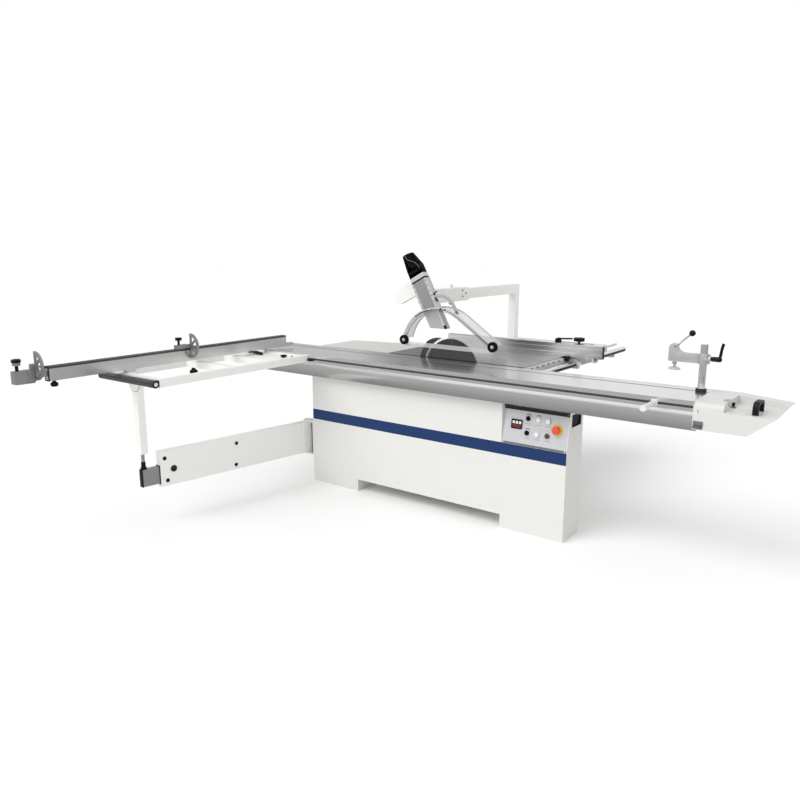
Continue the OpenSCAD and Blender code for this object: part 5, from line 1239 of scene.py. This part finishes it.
@dataclass
class RipFence:
    """Collars, slider, slots and scale of the rip fence and its rails."""

    bar: Pair = (558, 850)
    sleeve: Pair = (600.3, 850.3)
    rail_top: float = 893

    def build_slide(self) -> None:
        """Make the collars round the bar, the saddle and the slider of the rip fence's carrier."""
        x, z = self.bar
        for name, start, length in (("collar_near", self.sleeve[0], 42), ("collar_far", self.sleeve[1] - 30, 30)):
            ring = Bench.turned(name, mm(x, start, z), FAR,
                                [(33.6, -0.2), (36.5, 2), (36.5, length - 2), (33.4, length)], 48)
            ring = Bench.opened(ring, FAR, 11)
            gap = Bench.block("gap", mm(x - 60, start - 20, z - 60), mm(x + 60, start + length + 20, z - 11), 0.5)
            Bench.done(Bench.combined(ring, gap), "rip_slide_unit", "white_plastic", WHITE_PLASTIC)
        saddle = ((506, 893.5), (523.8, 893.5), (523.8, 873), (542, 873), (542, 902), (538, 906), (506, 906))
        Bench.fit("rip_slide_unit",
                  (Bench.plate("scale_saddle", [mm(px, 532, pz) for px, pz in saddle], mm(0, 26, 0)),
                   "black_plastic", BLACK),
                  (Bench.block("scale_slider", mm(506, 550, self.rail_top + 0.4),
                               mm(534.4, 664, self.rail_top + 7.4), 1.5), "black_plastic", BLACK))

    def build(self) -> None:
        """Make the pieces on the rip fence and its rails."""
        self.build_slide()
        spots = [mm(763, 580, z) for z in (915, 943, 971)]
        slot = Bench.block("fence_slot_1", spots[0] + mm(-3, -13, -6), spots[0] + mm(0.8, 13, 6))
        Bench.repeated(slot, spots, "rip_fence_unit", "black_plastic", BLACK)
        line = Bench.block("fence_groove_1", mm(-394, 559.4, 926), mm(762, 561, 928), 0.3)
        Bench.repeated(line, [mm(0, 0, 0), mm(0, 0, 32)], "rip_fence_unit", "aluminium", ALU_X)
        top, (x, z) = self.rail_top, self.bar
        tick = Bench.block("rail_scale", mm(522.8, 60, top - 11), mm(523.3, 92, top - 5), 0.08, 1)
        Bench.fit("machine_base", (Bench.row(tick, 8, mm(0, 75, 0)), "black_plastic", BLACK),
                  (Bench.block("rail_groove", mm(518.5, 20, top - 0.3), mm(521.5, 1450, top + 0.3), 0.1, 1),
                   "black_plastic", DARK_TRIM),
                  (Bench.turned("bar_cap", mm(x, 1491.6, z), FAR,
                                [(19.6, -0.5), (19.6, 0.6), (18, 2.2), (7, 2.4), (6, -0.2)], 36),
                   "black_plastic", DARK_TRIM))


@dataclass
class SwingArm:
    """Plugs, lock and end caps of the swing arm and its ram."""

    hinge: Pair = (-1010, -270)
    turn: float = 8.5
    half: float = 23

    def at(self, x: float, y: float, z: float) -> Vector:
        """Point from its place across and along the arm, in millimetres."""
        c, s = math.cos(math.radians(self.turn)), math.sin(math.radians(self.turn))
        return mm(self.hinge[0] + x * c + y * s, self.hinge[1] - x * s + y * c, z)

    def end_plate(self, name: str, half: float, y: float, low: float, high: float, thick: float) -> Piece:
        """Make a plate square to the arm, towards its outer end."""
        corners = [self.at(x, y, z) for x, z in ((-half, low), (half, low), (half, high), (-half, high))]
        return Bench.plate(name, corners, self.at(0, -thick, 0) - self.at(0, 0, 0))

    def build(self) -> None:
        """Make the pieces on the arm and the ram."""
        out = self.at(1, 0, 0) - self.at(0, 0, 0)
        along = (self.at(0, 1, 0) - self.at(0, 0, 0)).normalized()
        seat = self.half - 0.2
        spots = [self.at(seat, y, z) for y, z in ((-1089, 365), (-1077, 226), (-593, 365), (-602, 224))]
        plug = Bench.turned("arm_plug_1", spots[0], out, [(12, -0.5), (12, 1.6), (10, 3), (3, 3.4)], 24)
        Bench.repeated(plug, spots, "arm_unit", "black_plastic", BLACK)
        lock = [(20, -0.5), (20, 3), (17, 5), (8, 5.4), (7, 3)]
        bush = Bench.opened(self.end_plate("arm_bush", 22, -1119.6, 210, 324, 4), along, 3.4)
        cheek = ((-58, 205), (-50, 197), (-12, 197), (-4, 205), (-4, 398), (-12, 406), (-50, 406), (-58, 398))
        nut = [(18, -0.2), (18, 12), (16, 15), (13, 16), (13, 44), (11, 47)]
        Bench.fit("arm_unit",
                  (Bench.turned("arm_lock", self.at(seat, -1034, 292), out, lock, 28), "black_plastic", DARK_TRIM),
                  (bush, "black_plastic", BLACK),
                  (Bench.plate("hinge_cheek", [self.at(self.half - 0.4, y, z) for y, z in cheek], out * 3.4),
                   "white_paint", SNOW))
        # Black strip in the gap between the arm's hinge and the base: painted shade of the gap.
        Bench.fit("machine_base", (Bench.block("hinge_seal", mm(-955, -294, 192), mm(-942.3, -284, 412), 1.5),
                                   "black_plastic", BLACK))
        Bench.fit("arm_ram",
                  (self.end_plate("ram_cap", 17.5, -1226, 214, 320, 6), "black_plastic", BLACK),
                  (Bench.turned("ram_nut", self.at(0, -1212, 319), UP, nut, 24), "black_plastic", BLACK))


@dataclass
class Knife:
    """Leaf of the riving knife behind the blade, with a light strip on its inner edge as a painted highlight."""

    arbor: float = 838
    inner: float = 206
    outer: float = 252
    foot: float = 758
    half_t: float = 1.4
    crown: tuple[Pair, ...] = ((-172, 1015), (-148, 1025), (-120, 1032), (-92, 1033), (-74, 1031))

    def arc(self, radius: float, start: float, stop: float) -> list[Vector]:
        """Points on a circle round the arbor, on the leaf's near face."""
        return [rounded(0, -self.half_t, self.arbor, radius, start + (stop - start) * n / 10.0) for n in range(11)]

    def build(self) -> None:
        """Draw the leaf round the blade and lay a light strip along its inner arc, a painted highlight on the edge."""
        outline = [mm(-self.outer, -self.half_t, self.foot)] + self.arc(self.outer, 180, 139)
        outline += [mm(x, -self.half_t, z) for x, z in self.crown] + self.arc(self.inner, 111, 180)
        outline.append(mm(-self.inner, -self.half_t, self.foot))
        leaf = Bench.plate("knife_leaf", outline, mm(0, self.half_t * 2, 0))
        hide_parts("riving_knife")
        # Light strip along the inner arc: a painted highlight of the ground edge.
        edge = [p + NEAR * 0.5 * MM for p in self.arc(self.inner + 1.4, 112, 178)]
        Bench.fit("lift_unit", (leaf, "steel", BLADE),
                  (Bench.ribbon("knife_edge", edge, 3.2, mm(0, self.half_t * 2 + 1, 0)), "steel", SILVER))


@dataclass
class Studio:
    """Camera at the photograph's view, pale floor and soft studio light."""

    eye: Vector = field(default_factory=lambda: mm(2512.05, -3897.02, 1614.27))
    yaw: float = 36.85
    pitch: float = -11.90
    roll: float = 0.07
    lens: float = 33.24
    floor_half: float = 40.0
    floor_echo: float = 0.42
    room: tuple[Pair, ...] = ((0.0, 0.95), (0.35, 0.84), (1.0, 1.0))
    pillars: tuple[tuple[float, float, float, float], ...] = (
        (33, 1, 8, 0.36), (-98, 3, 11, 0.35), (125, 9, 15, 0.25), (60, 8, 34, 0.58), (-42, 2, 9, 0.45))
    key_from: Triple = (-0.30, -0.62, 0.72)
    key_power: float = 1.35
    key_spread: float = 40.0

    def build_camera(self) -> None:
        """Set the camera where the photograph was taken from."""
        seen = bpy.data.cameras.new("photo_view")
        seen.lens = self.lens
        seen.sensor_width = 36.0
        seen.clip_end = 200.0
        holder = bpy.data.objects.new("photo_view", seen)
        bpy.context.scene.collection.objects.link(holder)
        holder.matrix_world = Matrix.Translation(self.eye)
        for angle, axis in ((self.yaw, "Z"), (90.0 + self.pitch, "X"), (self.roll, "Z")):
            holder.matrix_world = holder.matrix_world @ Matrix.Rotation(math.radians(angle), 4, axis)
        bpy.context.scene.camera = holder

    def build_floor(self) -> None:
        """Lay the pale floor, which shines back less than it shows so that bright metal keeps its dark side."""
        Bench.clear()
        bpy.ops.mesh.primitive_plane_add(size=self.floor_half * 2)
        floor = Bench.named("floor")
        made = material(FLOOR)
        tree = made.node_tree
        dim = node(tree, "BsdfDiffuse", {"Color": grey(self.floor_echo) + (1.0,)})
        mix = node(tree, "MixShader", {"Fac": node(tree, "LightPath").outputs["Is Glossy Ray"],
                                       1: tree.nodes["Principled BSDF"].outputs["BSDF"], 2: dim.outputs["BSDF"]})
        feed(tree, tree.nodes["Material Output"], {"Surface": mix.outputs["Shader"]})
        floor.data.materials.append(made)

    def build_room(self) -> None:
        """Paint the room: white where it is looked at, and a soft bright and dim pattern for the light."""
        scene = bpy.context.scene
        scene.view_settings.view_transform = "Standard"
        scene.world = scene.world or bpy.data.worlds.new("room")
        scene.world.use_nodes = True
        tree = scene.world.node_tree
        split = node(tree, "SeparateXYZ", {"Vector": node(tree, "TexCoord").outputs["Generated"]})
        rise = node(tree, "ValToRGB", {"Fac": split.outputs["Z"]})
        rise.color_ramp.elements.new(self.room[1][0])
        for stop, (place, level) in zip(rise.color_ramp.elements, self.room):
            stop.position = place
            stop.color = grey(level) + (1.0,)
        colour = self.with_pillars(tree, split, rise.outputs["Color"])
        shown = node(tree, "Mix", {"Factor": node(tree, "LightPath").outputs["Is Camera Ray"], "A": colour,
                                   "B": (1.0, 1.0, 1.0, 1.0)}, data_type="RGBA")
        feed(tree, tree.nodes["Background"], {"Color": shown.outputs["Result"], "Strength": 1.0})

    def with_pillars(self, tree: Tree, split: bpy.types.Node, colour: Socket) -> Socket:
        """Dim the room along upright stripes, which bright metal shows as its soft dark reflections.

        Args:
            tree: the room's node tree.
            split: node that gives the parts of the direction.
            colour: the room's colour without the stripes.

        Returns:
            The room's colour with the stripes.
        """
        flat = node(tree, "CombineXYZ", {axis: split.outputs[axis] for axis in ("X", "Y")})
        level = node(tree, "VectorMath", {0: flat.outputs["Vector"]}, operation="NORMALIZE").outputs["Vector"]
        for angle, core, wide, dim in self.pillars:
            turn = math.radians(angle)
            near = node(tree, "VectorMath", {0: level, 1: (-math.sin(turn), math.cos(turn), 0.0)},
                        operation="DOT_PRODUCT")
            shade = node(tree, "MapRange", {
                "Value": near.outputs["Value"], "From Min": math.cos(math.radians(wide)),
                "From Max": math.cos(math.radians(core)), "To Min": 1.0, "To Max": dim},
                interpolation_type="SMOOTHSTEP")
            colour = node(tree, "Mix", {"Factor": 1.0, "A": colour, "B": shade.outputs["Result"]}, data_type="RGBA",
                          blend_type="MULTIPLY").outputs["Result"]
        return colour

    def build_light(self) -> None:
        """Hang the broad soft key light in front, to the left."""
        sun = bpy.data.lights.new("soft_key", "SUN")
        sun.energy = self.key_power
        sun.angle = math.radians(self.key_spread)
        key = bpy.data.objects.new("soft_key", sun)
        key.rotation_euler = Vector(self.key_from).to_track_quat("Z", "Y").to_euler()
        bpy.context.scene.collection.objects.link(key)

    def build(self) -> None:
        """Make the camera, the floor, the room and the light."""
        for step in (self.build_camera, self.build_floor, self.build_room, self.build_light):
            step()


def main() -> None:
    """Dress the solids, build the fittings and set the studio, in order."""
    Bench.clear()
    CarriedSolids().dress()
    for assembly in (Base(), Guard(), EndCover(), Clamp(), CrosscutFence(), Outrigger(), RipFence(), SwingArm(),
                     Knife(), Panel()):
        assembly.build()
        LOG.info("built %s", type(assembly).__name__)
    Studio().build()


if __name__ == "__main__":
    main()
